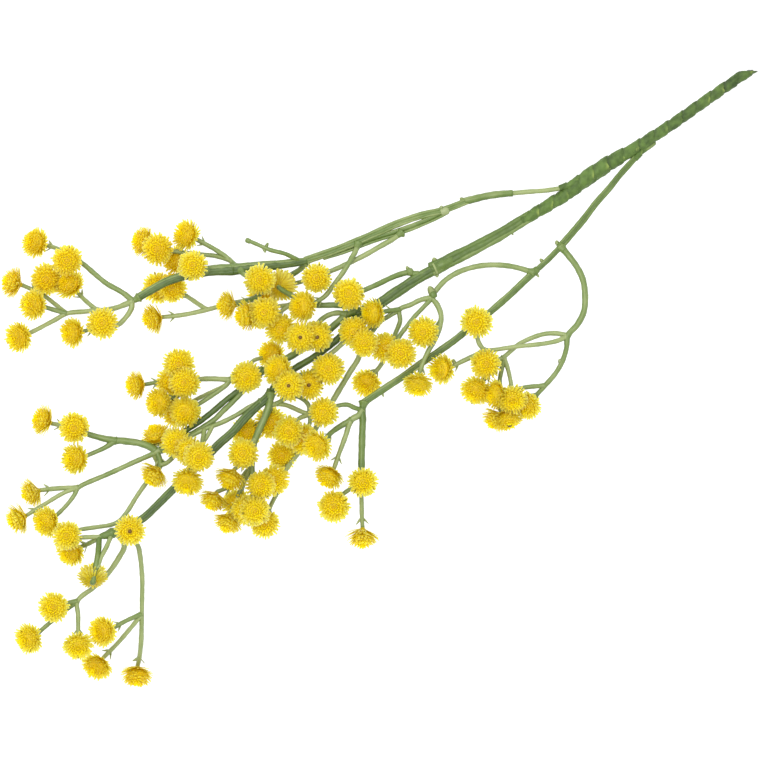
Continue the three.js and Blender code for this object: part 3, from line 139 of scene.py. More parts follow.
# %% Routes of the sprays
# A stalk is: name, first radius, last radius, points, and the way its floret faces, or nothing where
# the stalk ends in a fork or bare.
SPRAYS = {
  "spray_c1": [
    ["loop", 1.35, 1.3, [[112.7, 20.9, 18.9], [112, 26, 20.8], [111.5, 32, 22.4], [112.9, 40, 24.4],
      [119, 50, 26.8], [125, 54, 27.8], [131.5, 56, 28.4]], []],
    ["upper arm", 1.1, 1.05, [[131.5, 56, 28.4], [135, 60.5, 28.2], [140, 64.7, 27.6],
      [146, 67.8, 26.8], [152, 69.6, 26]], []],
    ["L12", 1.05, 0.9, [[152, 69.6, 26], [157, 71, 25], [161.8, 72.2, 24.6]], [0.5, 0.15, 0.85]],
    ["L3", 1, 0.85, [[152, 69.6, 26], [158, 66.5, 27], [164.3, 63.9, 28.2],
      [169.2, 62, 29]], [0.75, -0.15, 0.6]],
    ["front arm", 1, 0.9, [[131.5, 56, 28.4], [136, 55.6, 29.6], [141, 54, 31], [147, 51.2, 32],
      [152, 48.7, 32], [158, 46, 31.4], [166.3, 41.7, 30.6]], []],
    ["back arm", 1.05, 0.95, [[131.5, 56, 28.4], [135, 52.6, 27.6], [140, 49.8, 27], [146, 48.2, 26.8],
      [152, 47.6, 27], [161, 48.8, 28]], []],
    ["L5", 0.95, 0.85, [[161, 48.8, 28], [165.5, 48.3, 28.4], [169, 47.2, 29]], [0.12, 0.02, 1]],
    ["L13", 0.95, 0.85, [[161, 48.8, 28], [162.3, 54.5, 27], [164.5, 60.7, 27],
      [167.2, 66, 29.6]], [0.15, 0.3, 0.95]],
    ["L1", 1, 0.9, [[161, 48.8, 28], [165, 53.4, 26.6], [168.4, 57.4, 25.6], [170.5, 62.9, 25.2],
      [173.3, 69.8, 26.4]], [0.23, 0.84, 0.5]],
    ["L2", 0.9, 0.85, [[171.5, 62, 25.2], [174.6, 65.6, 25], [175, 69.6, 24.8]], [0.94, 0.28, 0.17]],
    ["L4", 1, 0.9, [[161, 48.8, 28], [166, 50.6, 25.6], [171.7, 52.3, 24.8],
      [177.4, 53.8, 25.6]], [0.52, 0.25, 0.82]],
    ["P1", 1.1, 0.95, [[166.3, 41.7, 30.6], [167.2, 38.2, 31], [165.6, 33.4, 31.2],
      [162.8, 28.6, 31.2]], [0.06, 0.09, 0.99]],
    ["L6", 1.05, 0.95, [[166.3, 41.7, 30.6], [173, 41.2, 29.6], [179.4, 40.5, 29],
      [184.4, 40.2, 28.8]], [0.69, -0.34, 0.64]],
  ],
  "spray_c2": [
    ["loop", 1.15, 1.1, [[129.9, 23.2, 21.3], [133.5, 19, 22.4], [138, 14.8, 23.2], [144, 10.6, 24.4],
      [150, 7.8, 25.4], [156, 6, 26.3], [161, 5.5, 27], [167, 6.1, 28], [174, 9.2, 29]], []],
    ["L7", 1.2, 0.95, [[174, 9.2, 29], [173.9, 13, 30], [175, 18, 31.2], [178.4, 22.3, 32.4],
      [183, 25.8, 33.4], [188, 28.4, 34], [193.3, 31.9, 34.4],
      [198.4, 36.2, 34.6]], [0.47, 0.61, 0.64]],
    ["L8", 0.95, 0.9, [[176.4, 20.2, 31.8], [180, 21.2, 31], [185.2, 20.5, 31.4]], [0.12, -0.07, 0.99]],
    ["K3", 0.95, 0.9, [[174, 9.2, 29], [180, 10.8, 29.2], [186, 12.4, 30], [192, 14.6, 31],
      [197.6, 17.4, 32], [199.4, 22.6, 33.6]], [0.02, 0.1, 1]],
    ["K4", 0.9, 0.85, [[192, 14.6, 31], [198, 16.4, 29.4], [203.7, 16.6, 27.6]], [0.12, 0.05, 1]],
    ["low arm", 1.1, 1, [[174, 9.2, 29], [179, 7.3, 28.4], [184, 6.8, 28.2], [189.4, 6, 28.4]], []],
    ["L9", 1, 0.9, [[189.4, 6, 28.4], [192, 10.5, 28], [196, 13.6, 27], [200.4, 16.6, 25.6],
      [205, 20, 23.6], [210.2, 22.8, 21.6], [218, 25.3, 20.2]], [0.4, 0.24, 0.88]],
    ["K1", 1, 0.95, [[189.4, 6, 28.4], [193.4, 4, 30.2], [197.1, 2.7, 32.2]], [0.73, -0.36, 0.57]],
    ["K5", 1, 0.9, [[189.4, 6, 28.4], [195, 5.9, 28.4], [200, 6, 29.2], [204.4, 7.7, 31.4],
      [210.3, 10, 34.6]], [0.12, 0.05, 1]],
    ["K6", 0.9, 0.85, [[200, 6, 29.2], [205.6, 5.8, 29.7], [211.5, 3.9, 30.5]], [0.12, -0.05, 1]],
  ],
  "spray_c3": [
    ["hub", 1.4, 1.45, [[225.4, 33, 32], [227.6, 35.4, 32.6]], []],
    ["mast", 1.45, 1.45, [[227.6, 35.4, 32.6], [229.8, 39.4, 33.2], [235, 47, 34.2],
      [241.7, 57.4, 35]], []],
    ["L11", 1.05, 0.95, [[241.7, 57.4, 35], [243.2, 60, 35.6], [244.2, 62.9, 36.6]], [0.05, 0.05, 1]],
    ["H1", 1.05, 0.9, [[241.7, 57.4, 35], [245.6, 63.4, 33.6], [249.6, 70, 32.6], [252.8, 75.4, 31.8],
      [255.4, 80.2, 31]], [0.5, 0.8, 0.2]],
    ["H2", 0.95, 0.9, [[245.6, 63.4, 33.6], [250.6, 62.6, 32.4], [256.1, 63.1, 32],
      [260.9, 65, 32.6]], [0.1, 0.08, 1]],
    ["fork arm", 1.3, 1.3, [[227.6, 35.4, 32.6], [230.4, 36.5, 33.4], [234, 36.5, 33.8]], []],
    ["H3", 1.15, 0.9, [[234, 36.5, 33.8], [240, 41.2, 34.6], [246.2, 46, 35.2],
      [252.4, 51, 35.8]], [0.75, 0.35, 0.4]],
    ["H4", 1.25, 1, [[234, 36.5, 33.8], [240, 36.3, 34.4], [245.2, 36.7, 37],
      [250.1, 38.2, 41.2]], [0.67, -0.01, 0.74]],
    ["L10", 1, 0.9, [[227.6, 35.4, 32.6], [230, 32.6, 33.8], [232, 29.8, 34.4], [236.8, 27.7, 35],
      [242.5, 27.3, 36.6]], [0.07, -0.05, 1]],
  ],
  "spray_b1": [
    ["K2", 1.25, 1.05, [[175, -3.4, 22.4], [176.6, -5.8, 22.8], [181, -7.4, 24], [186, -8.3, 25.4],
      [193, -9.1, 28], [199.9, -10.2, 30.8], [204.8, -11.8, 32.6]], [0.07, -0.05, 1]],
  ],
  "spray_b2": [
    ["rail", 1.1, 1, [[210.6, 0.3, 27.8], [213.6, 3.4, 28.8], [218, 5, 29.6], [223, 6, 30.4],
      [228, 6.8, 31.2]], []],
    ["K11", 0.95, 0.9, [[228, 6.8, 31.2], [229.8, 8.8, 32.6], [230.7, 11.4, 34.2]], [0, 0.05, 1]],
    ["K12", 0.95, 0.9, [[228, 6.8, 31.2], [233.5, 8.4, 31.6], [238, 10.4, 31.2],
      [241.6, 12.8, 31.4]], [0.05, 0.05, 1]],
    ["K13", 0.95, 0.9, [[233.5, 8.4, 31.6], [239, 8.8, 34.2], [244, 9, 36.6],
      [249.4, 8.6, 38.8]], [0.05, 0, 1]],
    ["K14", 0.9, 0.85, [[239, 8.8, 34.2], [244, 6.4, 35], [248.4, 2.2, 34.6]], [0.38, -0.43, 0.82]],
  ],
  "spray_b3": [
    ["rail", 1.15, 1.2, [[204.6, -0.9, 25.6], [206.4, 2.4, 25.8], [209.4, 6, 26], [212.4, 10, 26.4],
      [216.6, 14.6, 27], [223.8, 18.2, 28], [230, 21.4, 28.6], [236.5, 24.8, 29], [243, 28, 28.4]], []],
    ["tail", 1.2, 0.95, [[243, 28, 28.4], [250, 31.4, 27.4], [257, 34.6, 27], [263, 36.8, 27.4],
      [268, 38.4, 28], [273, 40.4, 28.6]], []],
    ["H7", 0.95, 0.9, [[257, 34.6, 27], [262.5, 34.4, 24.6], [268.6, 33.8, 22.6]], [0.1, 0, 1]],
    ["H8a", 0.95, 0.9, [[268, 38.4, 28], [272, 40.2, 29.8], [278.2, 39.4, 31]], [-0.03, 0.37, 0.93]],
    ["H9", 0.95, 0.9, [[273, 40.4, 28.6], [279, 46, 29], [285.6, 50.3, 30.6],
      [290.9, 54.8, 32.6]], [0.2, 0.16, 0.97]],
  ],
  "spray_b4": [
    ["loop", 1.1, 1.1, [[211.4, -5.2, 27.2], [213.2, -7.2, 27.4], [218, -8.9, 28],
      [223.4, -8.3, 29.4]], []],
    ["K7", 1, 0.95, [[223.4, -8.3, 29.4], [225.6, -6, 31.2], [227.2, -4, 32.8]], [0.02, 0.12, 1]],
    ["K8", 1, 0.95, [[223.4, -8.3, 29.4], [228, -8, 32], [233.4, -7, 35]], [0.06, 0, 1]],
  ],
  "spray_b5": [
    ["rail", 1.3, 1.2, [[206.2, -4.6, 26], [208.4, -7.6, 26], [212, -10.5, 26], [218, -14.2, 25.8],
      [222.5, -17.6, 25.6], [225.8, -22.4, 26.2]], []],
    ["K20", 1.2, 1, [[225.8, -22.4, 26.2], [227.6, -26, 28.8], [229.6, -29.6, 31.2],
      [230.2, -31.4, 31.4]], [-0.3, -0.06, -0.95]],
    ["arm", 1, 0.95, [[225.8, -22.4, 26.2], [230.4, -22, 27], [235.4, -21.2, 28]], []],
    ["K16", 0.9, 0.85, [[235.4, -21.2, 28], [237.2, -18.2, 28.2],
      [239.2, -15.6, 28.8]], [0.05, 0.08, 1]],
    ["K17", 0.95, 0.9, [[235.4, -21.2, 28], [237.6, -22.8, 31], [241.1, -25.1, 34]], [0.08, 0, 1]],
    ["K18", 0.9, 0.85, [[230.4, -22, 27], [236, -24.6, 25], [243.4, -25.6, 24.4]], [0.15, 0, 1]],
    ["K19", 0.9, 0.85, [[235.4, -21.2, 28], [240, -25.4, 30.4],
      [245.5, -26.4, 32.8]], [0.85, -0.42, 0.25]],
  ],
  "spray_b6": [
    ["crown", 1.6, 1.3, [[258.8, 7.6, 32.3], [262, 11.4, 33.4], [266, 14.8, 34], [270, 17.4, 34.5],
      [275, 20.8, 35], [279.5, 25.4, 35.6], [283, 30.4, 36]], []],
    ["upper", 1.2, 1.2, [[283, 30.4, 36], [286.4, 36.6, 36.6], [289, 41.2, 37],
      [290.6, 44.6, 37.4]], []],
    ["H10", 0.95, 0.9, [[290.6, 44.6, 37.4], [291.4, 47, 39], [292.5, 48, 41]], [0, 0.08, 1]],
    ["H11", 0.95, 0.9, [[290.6, 44.6, 37.4], [293, 44.2, 36.8], [295.1, 45.7, 36]], [0.2, 0.05, 0.97]],
    ["H8b", 0.95, 0.9, [[286.4, 36.6, 36.6], [284.6, 38.6, 37.4],
      [284.3, 39.6, 38.6]], [-0.05, 0.1, 1]],
    ["H12", 0.95, 0.9, [[283, 30.4, 36], [286.4, 32.6, 35], [290.4, 35.2, 33.6], [295, 38.2, 32.8],
      [299.5, 41.1, 33], [302.4, 43.6, 33.6]], [0.73, 0.62, 0.28]],
    ["H13", 0.9, 0.85, [[290.4, 35.2, 33.6], [293.4, 38, 29.6],
      [297.1, 41.2, 26.4]], [0.15, 0.1, 0.97]],
    ["H14", 0.95, 0.9, [[283, 30.4, 36], [287, 31.4, 34], [292, 33, 32.4], [298.2, 32.7, 32.2],
      [302.5, 31.9, 32.8]], [0.8, 0.54, 0.28]],
    ["H15", 0.95, 0.9, [[279.5, 25.4, 35.6], [284.6, 27, 37], [290.3, 27.5, 38.2]], [0.8, 0.54, 0.28]],
    ["H16", 0.95, 0.9, [[275, 20.8, 35], [278.4, 22, 37.6], [282.8, 23.8, 40.4]], [0.09, -0.06, 0.99]],
    ["N1", 0.9, 0.85, [[262, 11.4, 33.4], [262.8, 14.6, 28.6], [265, 17.8, 23]], [0.1, 0.1, 1]],
    ["N2", 0.9, 0.85, [[266, 14.8, 34], [270.6, 16.2, 28], [276.6, 16.4, 22]], [0.15, 0, 1]],
    ["twig right", 1, 0.95, [[262, 11.4, 33.4], [259, 12.6, 31.8], [255.4, 15.4, 30.8],
      [250.8, 22, 30.6], [248.8, 24.4, 30.6]], []],
    ["twig left", 0.95, 0.9, [[259, 12.6, 31.8], [252, 13, 30.8], [248.6, 15.4, 30.4],
      [246.9, 20.4, 30.2], [248.8, 24.4, 30.6]], []],
    ["H6", 0.95, 0.9, [[248.8, 24.4, 30.6], [252.8, 23.6, 31.6], [256, 24, 33],
      [260, 25.8, 34.8]], [0.15, 0.08, 0.98]],
    ["H5", 0.9, 0.85, [[248.8, 24.4, 30.6], [250.4, 27.6, 30.4], [253.4, 29.6, 29.8],
      [256.4, 32, 29.2]], [0.15, 0.1, 0.98]],
  ],
  "spray_b7": [
    ["rail", 0.95, 1, [[264.8, 8, 32.4], [269, 7.3, 32.2], [275, 7.4, 32.3], [280, 7.1, 32.5],
      [285, 6.5, 33], [288.5, 5.8, 33.8]], []],
    ["G4", 1, 0.9, [[288.5, 5.8, 33.8], [292.4, 5.1, 34.2], [299, 4.5, 34.3],
      [305.2, 4.8, 34.2]], [0.2, -0.25, 0.94]],
    ["G3", 0.85, 0.85, [[288.5, 5.8, 33.8], [293, 8.5, 35.8], [298, 10.4, 38.2],
      [302.5, 9.5, 39.6]], [0.15, 0.08, 0.98]],
    ["G2", 1, 0.9, [[292.4, 5.1, 34.2], [294.6, 7.8, 37.2], [297.4, 11, 41],
      [300.9, 13.6, 44.6]], [0.02, 0.17, 0.98]],
  ],
  "spray_b8": [
    ["rail", 1.1, 1.2, [[257, -4, 30.5], [259.6, -6.6, 29.9], [262, -7.6, 29.5], [266, -8, 29.2],
      [270.8, -7.6, 29]], []],
    ["G1", 1, 0.95, [[262, -7.6, 29.5], [263.4, -7.2, 31.8], [263.9, -5.6, 34.2]], [0, 0.2, 0.98]],
    ["K15", 0.9, 0.85, [[262, -7.6, 29.5], [257, -9.4, 25.6], [247, -5.2, 20.6]], [0.49, -0.56, 0.67]],
    ["G8a", 1.05, 0.9, [[270.8, -7.6, 29], [274, -6.5, 29.3], [286.1, -5.9, 30.2],
      [293.8, -6, 30.6]], [0.37, 0.01, 0.93]],
    ["G8b", 0.9, 0.85, [[274, -6.5, 29.3], [286, -8, 26], [293, -8.4, 23.4],
      [298, -8.2, 22.2]], [0.3, 0.05, 0.95]],
    ["back arm", 1.15, 1.05, [[270.8, -7.6, 29], [276.6, -11.8, 27.6], [283, -15.4, 26.6]], []],
    ["G10", 0.95, 0.9, [[283, -15.4, 26.6], [285.4, -15.8, 29],
      [288, -16.9, 31.6]], [0.18, -0.11, 0.98]],
    ["G11", 0.95, 0.9, [[283, -15.4, 26.6], [285, -20, 26.8],
      [286.9, -25.2, 27.6]], [-0.07, -0.12, 0.99]],
    ["G12", 0.9, 0.85, [[283, -15.4, 26.6], [288, -18.2, 23], [293, -20.4, 20]], [0.15, -0.02, 0.98]],
    ["G9", 0.95, 0.9, [[283, -15.4, 26.6], [289, -14.2, 26], [295.4, -14, 26.4],
      [301.4, -14.9, 27.2]], [0.51, -0.25, 0.82]],
    ["G13", 0.9, 0.85, [[288, -18.2, 23], [293, -21.4, 22], [299, -24, 22.4],
      [304.4, -26.2, 23]], [0.85, -0.4, 0.3]],
  ],
  "spray_b9": [
    ["shoulder", 1.3, 1.5, [[344.8, 24.4, 37.9], [349, 23.2, 38]], []],
    ["pad", 2.7, 1.2, [[349, 23.2, 38], [352, 22.7, 38], [355, 22.1, 38], [357.6, 21.4, 38]], []],
    ["F7", 1.05, 0.95, [[351, 22.9, 38], [349.4, 24.6, 41], [344.3, 25.8, 43.6]], [0.04, 0.06, 1]],
    ["F1 arm", 1.1, 0.95, [[351, 22.9, 38], [347.8, 27.2, 35.4], [345.4, 33, 32.4], [347.2, 38.4, 30.4],
      [351, 46, 27.4], [355, 52.4, 25], [360.4, 60.6, 21.4]], []],
    ["F1", 1.1, 0.95, [[360.4, 60.6, 21.4], [366, 69, 15.4], [371.6, 76.3, 9.4],
      [374.9, 79.6, 4.2]], [0.53, 0.76, 0.37]],
    ["F2", 1, 0.9, [[360.4, 60.6, 21.4], [367.6, 63.2, 19.6], [375.9, 65.8, 18],
      [386.9, 68.5, 16.6]], [0.71, 0.28, 0.64]],
    ["F3", 1, 0.9, [[360.4, 60.6, 21.4], [367, 59.6, 22.8], [377.1, 59, 25.4]], [0.51, -0.25, 0.82]],
    ["F4 arm", 1.3, 1, [[351, 22.9, 38], [350, 26.8, 34.8], [350.8, 30.8, 32], [355.4, 33.6, 31],
      [364, 37.3, 31], [372, 39, 31.4], [381.6, 40.4, 32]], []],
    ["F4", 1, 0.9, [[381.6, 40.4, 32], [384.8, 46, 32.6], [390.8, 55.8, 33.4]], [0.26, 0.42, 0.87]],
    ["F5", 1, 0.9, [[381.6, 40.4, 32], [390, 41.2, 31.6], [399.8, 42.4, 31],
      [406.7, 43.6, 30.6]], [0.56, -0.1, 0.82]],
    ["F6", 1, 0.9, [[381.6, 40.4, 32], [386, 38.6, 33], [391.3, 37.4, 34.6]], [0.15, -0.09, 0.98]],
    ["F8 left", 0.95, 1, [[353, 23.4, 38.4], [357.6, 26.7, 40.4], [362, 29.3, 42.8],
      [366, 32.6, 44.9]], []],
    ["F8", 1.2, 1.2, [[357.6, 21.4, 38], [360.6, 25, 40.8], [363.4, 28.6, 43.4], [366.6, 32.2, 44.8],
      [371.2, 37.1, 44.6]], [-0.37, -0.6, -0.71]],
    ["F9b", 1, 0.9, [[357.6, 21.4, 38], [362, 21.2, 35.8], [366, 20.8, 32.8],
      [369.2, 19.9, 30.8]], [0.71, 0, 0.71]],
    ["F9 prop", 0.95, 0.9, [[357.6, 21.4, 38], [361, 19.2, 38.4], [365, 17, 38.8],
      [367.6, 15.6, 37.4]], []],
  ],
  "spray_b10": [
    ["hub", 1.45, 1.3, [[312.2, 2.9, 31.6], [317, 2.4, 32]], []],
    ["G5", 1.15, 0.95, [[315.8, 2.7, 31.9], [316.5, 6, 32.6], [317.6, 8.3, 33.5],
      [318.4, 9.1, 34]], [0.91, 0.35, 0.21]],
    ["long arm", 1, 0.9, [[317, 2.4, 32], [318.4, 7, 29.8], [321.8, 10, 28.6], [327, 11.6, 29.2],
      [335, 15, 31], [342, 18.4, 32.4], [347, 19.8, 33], [350.5, 19.3, 33.6], [357, 16.6, 35.2],
      [364, 13.6, 37.2]], []],
    ["F9a", 0.95, 0.95, [[364, 13.6, 37.2], [367, 13.2, 37.8], [369.6, 13, 38.4]], [0.06, 0, 1]],
    ["mid arm", 1.1, 1, [[317, 2.4, 32], [320, 1.9, 31.9], [330, 0.5, 31.8], [340, -0.8, 31.6],
      [354.4, -2.6, 31.2]], []],
    ["F10", 0.95, 0.85, [[354.4, -2.6, 31.2], [357.4, -0.9, 31.2], [362.6, 1.1, 31.2],
      [371.7, 3.3, 31.6]], [0.63, -0.14, 0.77]],
    ["F11", 0.95, 0.85, [[354.4, -2.6, 31.2], [360, -4, 30.4], [370.8, -4.4, 29.6],
      [380.6, -4.4, 29]], [0.97, -0.17, 0.17]],
    ["F12", 1.1, 0.95, [[354.4, -2.6, 31.2], [360, -6, 29], [366, -9.1, 26.6],
      [369.5, -10.8, 25.2]], [0.96, -0.22, 0.17]],
    ["low arm", 1.5, 1.45, [[316, 1.8, 31.9], [317, -0.8, 31], [320.2, -4.8, 29.6], [324.4, -8.4, 28.8],
      [328.6, -11.4, 28]], []],
    ["F13", 1, 0.9, [[328.6, -11.4, 28], [335, -11.6, 28.6], [343, -12.8, 29.2],
      [346.5, -13.2, 29.4]], [0.5, -0.28, 0.82]],
    ["F14", 1.5, 1.05, [[328.6, -11.4, 28], [333.6, -16, 27.4], [338.4, -21.4, 27.4],
      [341.3, -26.2, 28.2]], [0.09, -0.06, 0.99]],
    ["F15", 1, 0.9, [[338.4, -21.4, 27.4], [343, -27, 22], [347.1, -31.4, 19.6],
      [349.5, -33.7, 19]], [0.59, -0.73, 0.34]],
    ["G6", 1, 0.95, [[317, -0.8, 31], [315, -0.6, 27], [313.3, 0.1, 24.6]], [-0.25, -0.91, 0.34]],
    ["G4 side", 1, 0.9, [[317.6, 8.3, 33.5], [314.6, 9, 33.2], [311, 8.3, 32.6], [308, 7.2, 31.6]], []],
  ],
  "spray_b11": [
    ["G7", 1.2, 1, [[304.2, 17.5, 36.7], [305.8, 18.3, 38.9], [307.5, 18.7, 40.6],
      [309, 18.9, 41.8]], [0.46, 0.49, 0.74]],
  ],
  "spray_a1": [
    ["rail", 1.15, 1.05, [[170.6, -23, 20.6], [175, -22.6, 21.6], [182, -22.8, 23], [192, -23.3, 24],
      [201, -24.3, 24.6], [207.4, -25.3, 25]], []],
    ["K10", 1.05, 0.95, [[207.4, -25.3, 25], [210.8, -25.8, 26.6], [213.4, -25.8, 29]], [0.02, 0, 1]],
    ["K22", 0.95, 0.9, [[207.4, -25.3, 25], [213, -26.6, 22.4], [219, -27.8, 20], [225, -29.6, 16.6],
      [231.4, -31, 11.6], [238.6, -31.4, 8.4]], [0.1, 0, 1]],
  ],
  "spray_a2": [
    ["K9", 1.15, 0.95, [[189.8, -28.9, 21.8], [191.8, -27.2, 23.6], [195.6, -25, 27], [201, -22.2, 29],
      [208, -19.4, 29.4], [214.5, -17, 29.6], [223.4, -17, 30.8]], [0.49, -0.3, 0.82]],
  ],
  "spray_a3": [
    ["rail", 1.25, 1.05, [[214.2, -34.2, 21.2], [217.8, -33.2, 19], [224, -33.2, 17.6],
      [232, -33.6, 18], [238, -33.4, 19], [243, -33.1, 20.6]], []],
    ["G14", 1.05, 0.95, [[243, -33.1, 20.6], [247, -34.2, 22.4],
      [250.6, -34.6, 24]], [0.85, -0.5, 0.15]],
    ["far arm", 1.05, 1, [[243, -33.1, 20.6], [249, -35.4, 18.6], [256, -37.9, 18],
      [263, -40, 18.6]], []],
    ["F16", 1, 0.9, [[263, -40, 18.6], [270, -42.4, 19.4], [277, -45.4, 19.8],
      [281.8, -47.8, 19.8]], [0.9, -0.35, 0.25]],
    ["F17", 1, 0.9, [[263, -40, 18.6], [264.8, -44, 16.6], [267.6, -50.1, 13.4],
      [270.6, -56.2, 11.6]], [0.1, -0.1, 0.98]],
    ["F18", 0.85, 0.85, [[267.4, -50, 13.4], [272, -54, 8.6],
      [276.3, -59.3, 5.4]], [0.01, -0.17, 0.98]],
  ],
  "spray_a4": [
    ["K21", 1.1, 0.95, [[240.6, -46.6, 24.1], [240.3, -44.4, 26.4], [238.6, -41.8, 28.8],
      [235.8, -38.8, 31]], [-0.05, 0.05, 1]],
  ],
  "spray_a5": [
    ["F22", 1.1, 0.95, [[241.8, -49.8, 22.2], [242.4, -53.6, 20.6], [245.8, -61.6, 18.6],
      [251.1, -70.9, 17.6]], [0.44, -0.55, 0.71]],
    ["side arm", 1, 0.95, [[242.4, -53.6, 20.6], [247, -58.6, 18], [252, -62.4, 17.4],
      [257, -66.4, 17.2], [262.6, -71, 16.8]], []],
    ["F23", 0.95, 0.9, [[262.6, -71, 16.8], [264.8, -72.8, 16.8],
      [266.6, -74.2, 17.2]], [0.2, -0.15, 0.97]],
    ["F24", 0.9, 0.85, [[262.6, -71, 16.8], [265, -74.4, 13.4],
      [268.4, -78.2, 10.8]], [0.6, -0.65, 0.35]],
    ["F21", 0.9, 0.85, [[257, -66.4, 17.2], [260, -66.8, 13.6],
      [260.9, -64.3, 10.6]], [0.57, -0.54, 0.62]],
  ],
  "spray_a6": [
    ["F20", 1.1, 0.95, [[254.2, -55.5, 24.5], [254.8, -56.8, 27], [256.6, -59, 28.8],
      [257.6, -60, 29.6]], [0.03, -0.03, 1]],
  ],
  "spray_a7": [
    ["hub", 1.2, 1.1, [[286.4, -60.9, 23.7], [289.2, -60.9, 23.6]], []],
    ["top arm", 1.2, 1.05, [[289.2, -60.9, 23.6], [291.6, -58.4, 23.8], [295, -56.6, 23.8],
      [300.6, -55.4, 24]], []],
    ["F25", 1, 0.9, [[300.6, -55.4, 24], [303.6, -57, 25.6], [305.8, -59.4, 27.4]], [0.05, -0.05, 1]],
    ["F26", 0.95, 0.9, [[300.6, -55.4, 24], [306, -57.4, 22.6], [311.6, -59.9, 22.4],
      [316.8, -61.7, 22.8]], [0.69, -0.34, 0.64]],
    ["mid arm", 1.25, 1.05, [[289.2, -60.9, 23.6], [293.4, -61.6, 22.8], [298, -62.6, 21.8],
      [304.4, -65.8, 20.4]], []],
    ["F28", 0.95, 0.9, [[304.4, -65.8, 20.4], [306.8, -71, 17.6], [308.1, -76.3, 15],
      [308.3, -79.7, 14]], [0.25, -0.66, 0.71]],
    ["east arm", 1.05, 1, [[304.4, -65.8, 20.4], [310, -68.4, 19.8], [317.5, -72, 19]], []],
    ["F27", 1, 0.9, [[317.5, -72, 19], [324, -72.4, 18.4], [332.2, -73, 17.6],
      [338.9, -73.8, 17]], [0.63, -0.14, 0.77]],
    ["F31", 1, 0.9, [[317.5, -72, 19], [321.4, -76.4, 19], [326.1, -81.7, 19.8]], [0.45, -0.35, 0.82]],
    ["F32", 0.95, 0.9, [[317.5, -72, 19], [319.6, -78, 15.6], [322.5, -85.4, 12.4],
      [327.9, -93.7, 9.6]], [0.67, -0.7, 0.24]],
    ["low arm", 1.2, 1.05, [[289.2, -60.9, 23.6], [290.4, -65, 22.6], [291.8, -68, 21.9],
      [294.9, -73.6, 20.2], [297.3, -80.4, 18.2], [300, -88.4, 15.6]], []],
    ["F29", 1, 0.9, [[300, -88.4, 15.6], [302, -90.6, 16.4], [304.2, -92, 18]], [0.08, -0.03, 1]],
    ["F30", 0.95, 0.9, [[300, -88.4, 15.6], [306, -89.6, 12.8], [312, -90, 11],
      [316.6, -90, 10]], [0.12, 0, 1]],
    ["F33", 1, 0.9, [[300, -88.4, 15.6], [302.6, -94, 11], [306, -99.7, 6.2],
      [310.6, -104.7, 1.9]], [0.51, -0.49, 0.71]],
  ],
}
HEADS = sum(len(row[4]) > 0 for rows in SPRAYS.values() for row in rows)
print("sprays:", len(SPRAYS), "florets:", HEADS)

# %% [markdown]
# ## From arrays to a mesh
# A closed skin is a row of rings with a point at each end. Stalks, petals, leaves and sockets are all
# that one shape, so one function joins the rings of many skins at once. Every vertex also carries two
# triples of numbers: "finish" says how pale, how thick or how far out it is, and "grain" says where it
# is along and round its own piece, so that streaks follow the stalk wherever it bends.

# %% Closed skins through rings of points
def closed_skins(rings, first, last):
    """Points, four-cornered and three-cornered faces of M skins through S rings of N points each.

    Corner (i, j) is joined to (i, j + 1), (i + 1, j + 1) and (i + 1, j), and the first and last ring are
    closed by a fan to the skin's first and last point.
    """
    skins, count, sides, _ = rings.shape
    i, j = np.meshgrid(np.arange(count - 1), np.arange(sides), indexing="ij")
    k = (j + 1) % sides
    quads = 1 + np.stack([i * sides + j, i * sides + k, (i + 1) * sides + k, (i + 1) * sides + j], -1)
    j, k, zero = np.arange(sides), (np.arange(sides) + 1) % sides, np.zeros(sides, int)
    top = 1 + (count - 1) * sides
    fans = np.concatenate([
        np.stack([zero, 1 + k, 1 + j], -1),
        np.stack([zero + top + sides, top + j, top + k], -1),
    ])
    starts = (np.arange(skins) * (count * sides + 2))[:, None, None]
    points = np.concatenate([first[:, None], rings.reshape(skins, -1, 3), last[:, None]], axis=1)
    return (points.reshape(-1, 3), (quads.reshape(-1, 4) + starts).reshape(-1, 4),
            (fans + starts).reshape(-1, 3))


def for_each_point(*channels, shape):
    """Three numbers for every ring corner, with the end points taking those of the nearest corner."""
    rings = np.stack([np.broadcast_to(c, shape) for c in channels], axis=-1)
    flat = rings.reshape(shape[0], -1, 3)
    return np.concatenate([flat[:, :1], flat, flat[:, -1:]], axis=1).reshape(-1, 3)


BOX_RINGS = np.array([[[x, y, z] for x, y in ((0, 0), (1, 0), (1, 1), (0, 1))] for z in (0, 1)], float)
BOX_PARTS = closed_skins(BOX_RINGS[None], np.array([[0.5, 0.5, 0]]), np.array([[0.5, 0.5, 1]]))
print("a box as a skin: points, quads and fans:", [len(part) for part in BOX_PARTS])

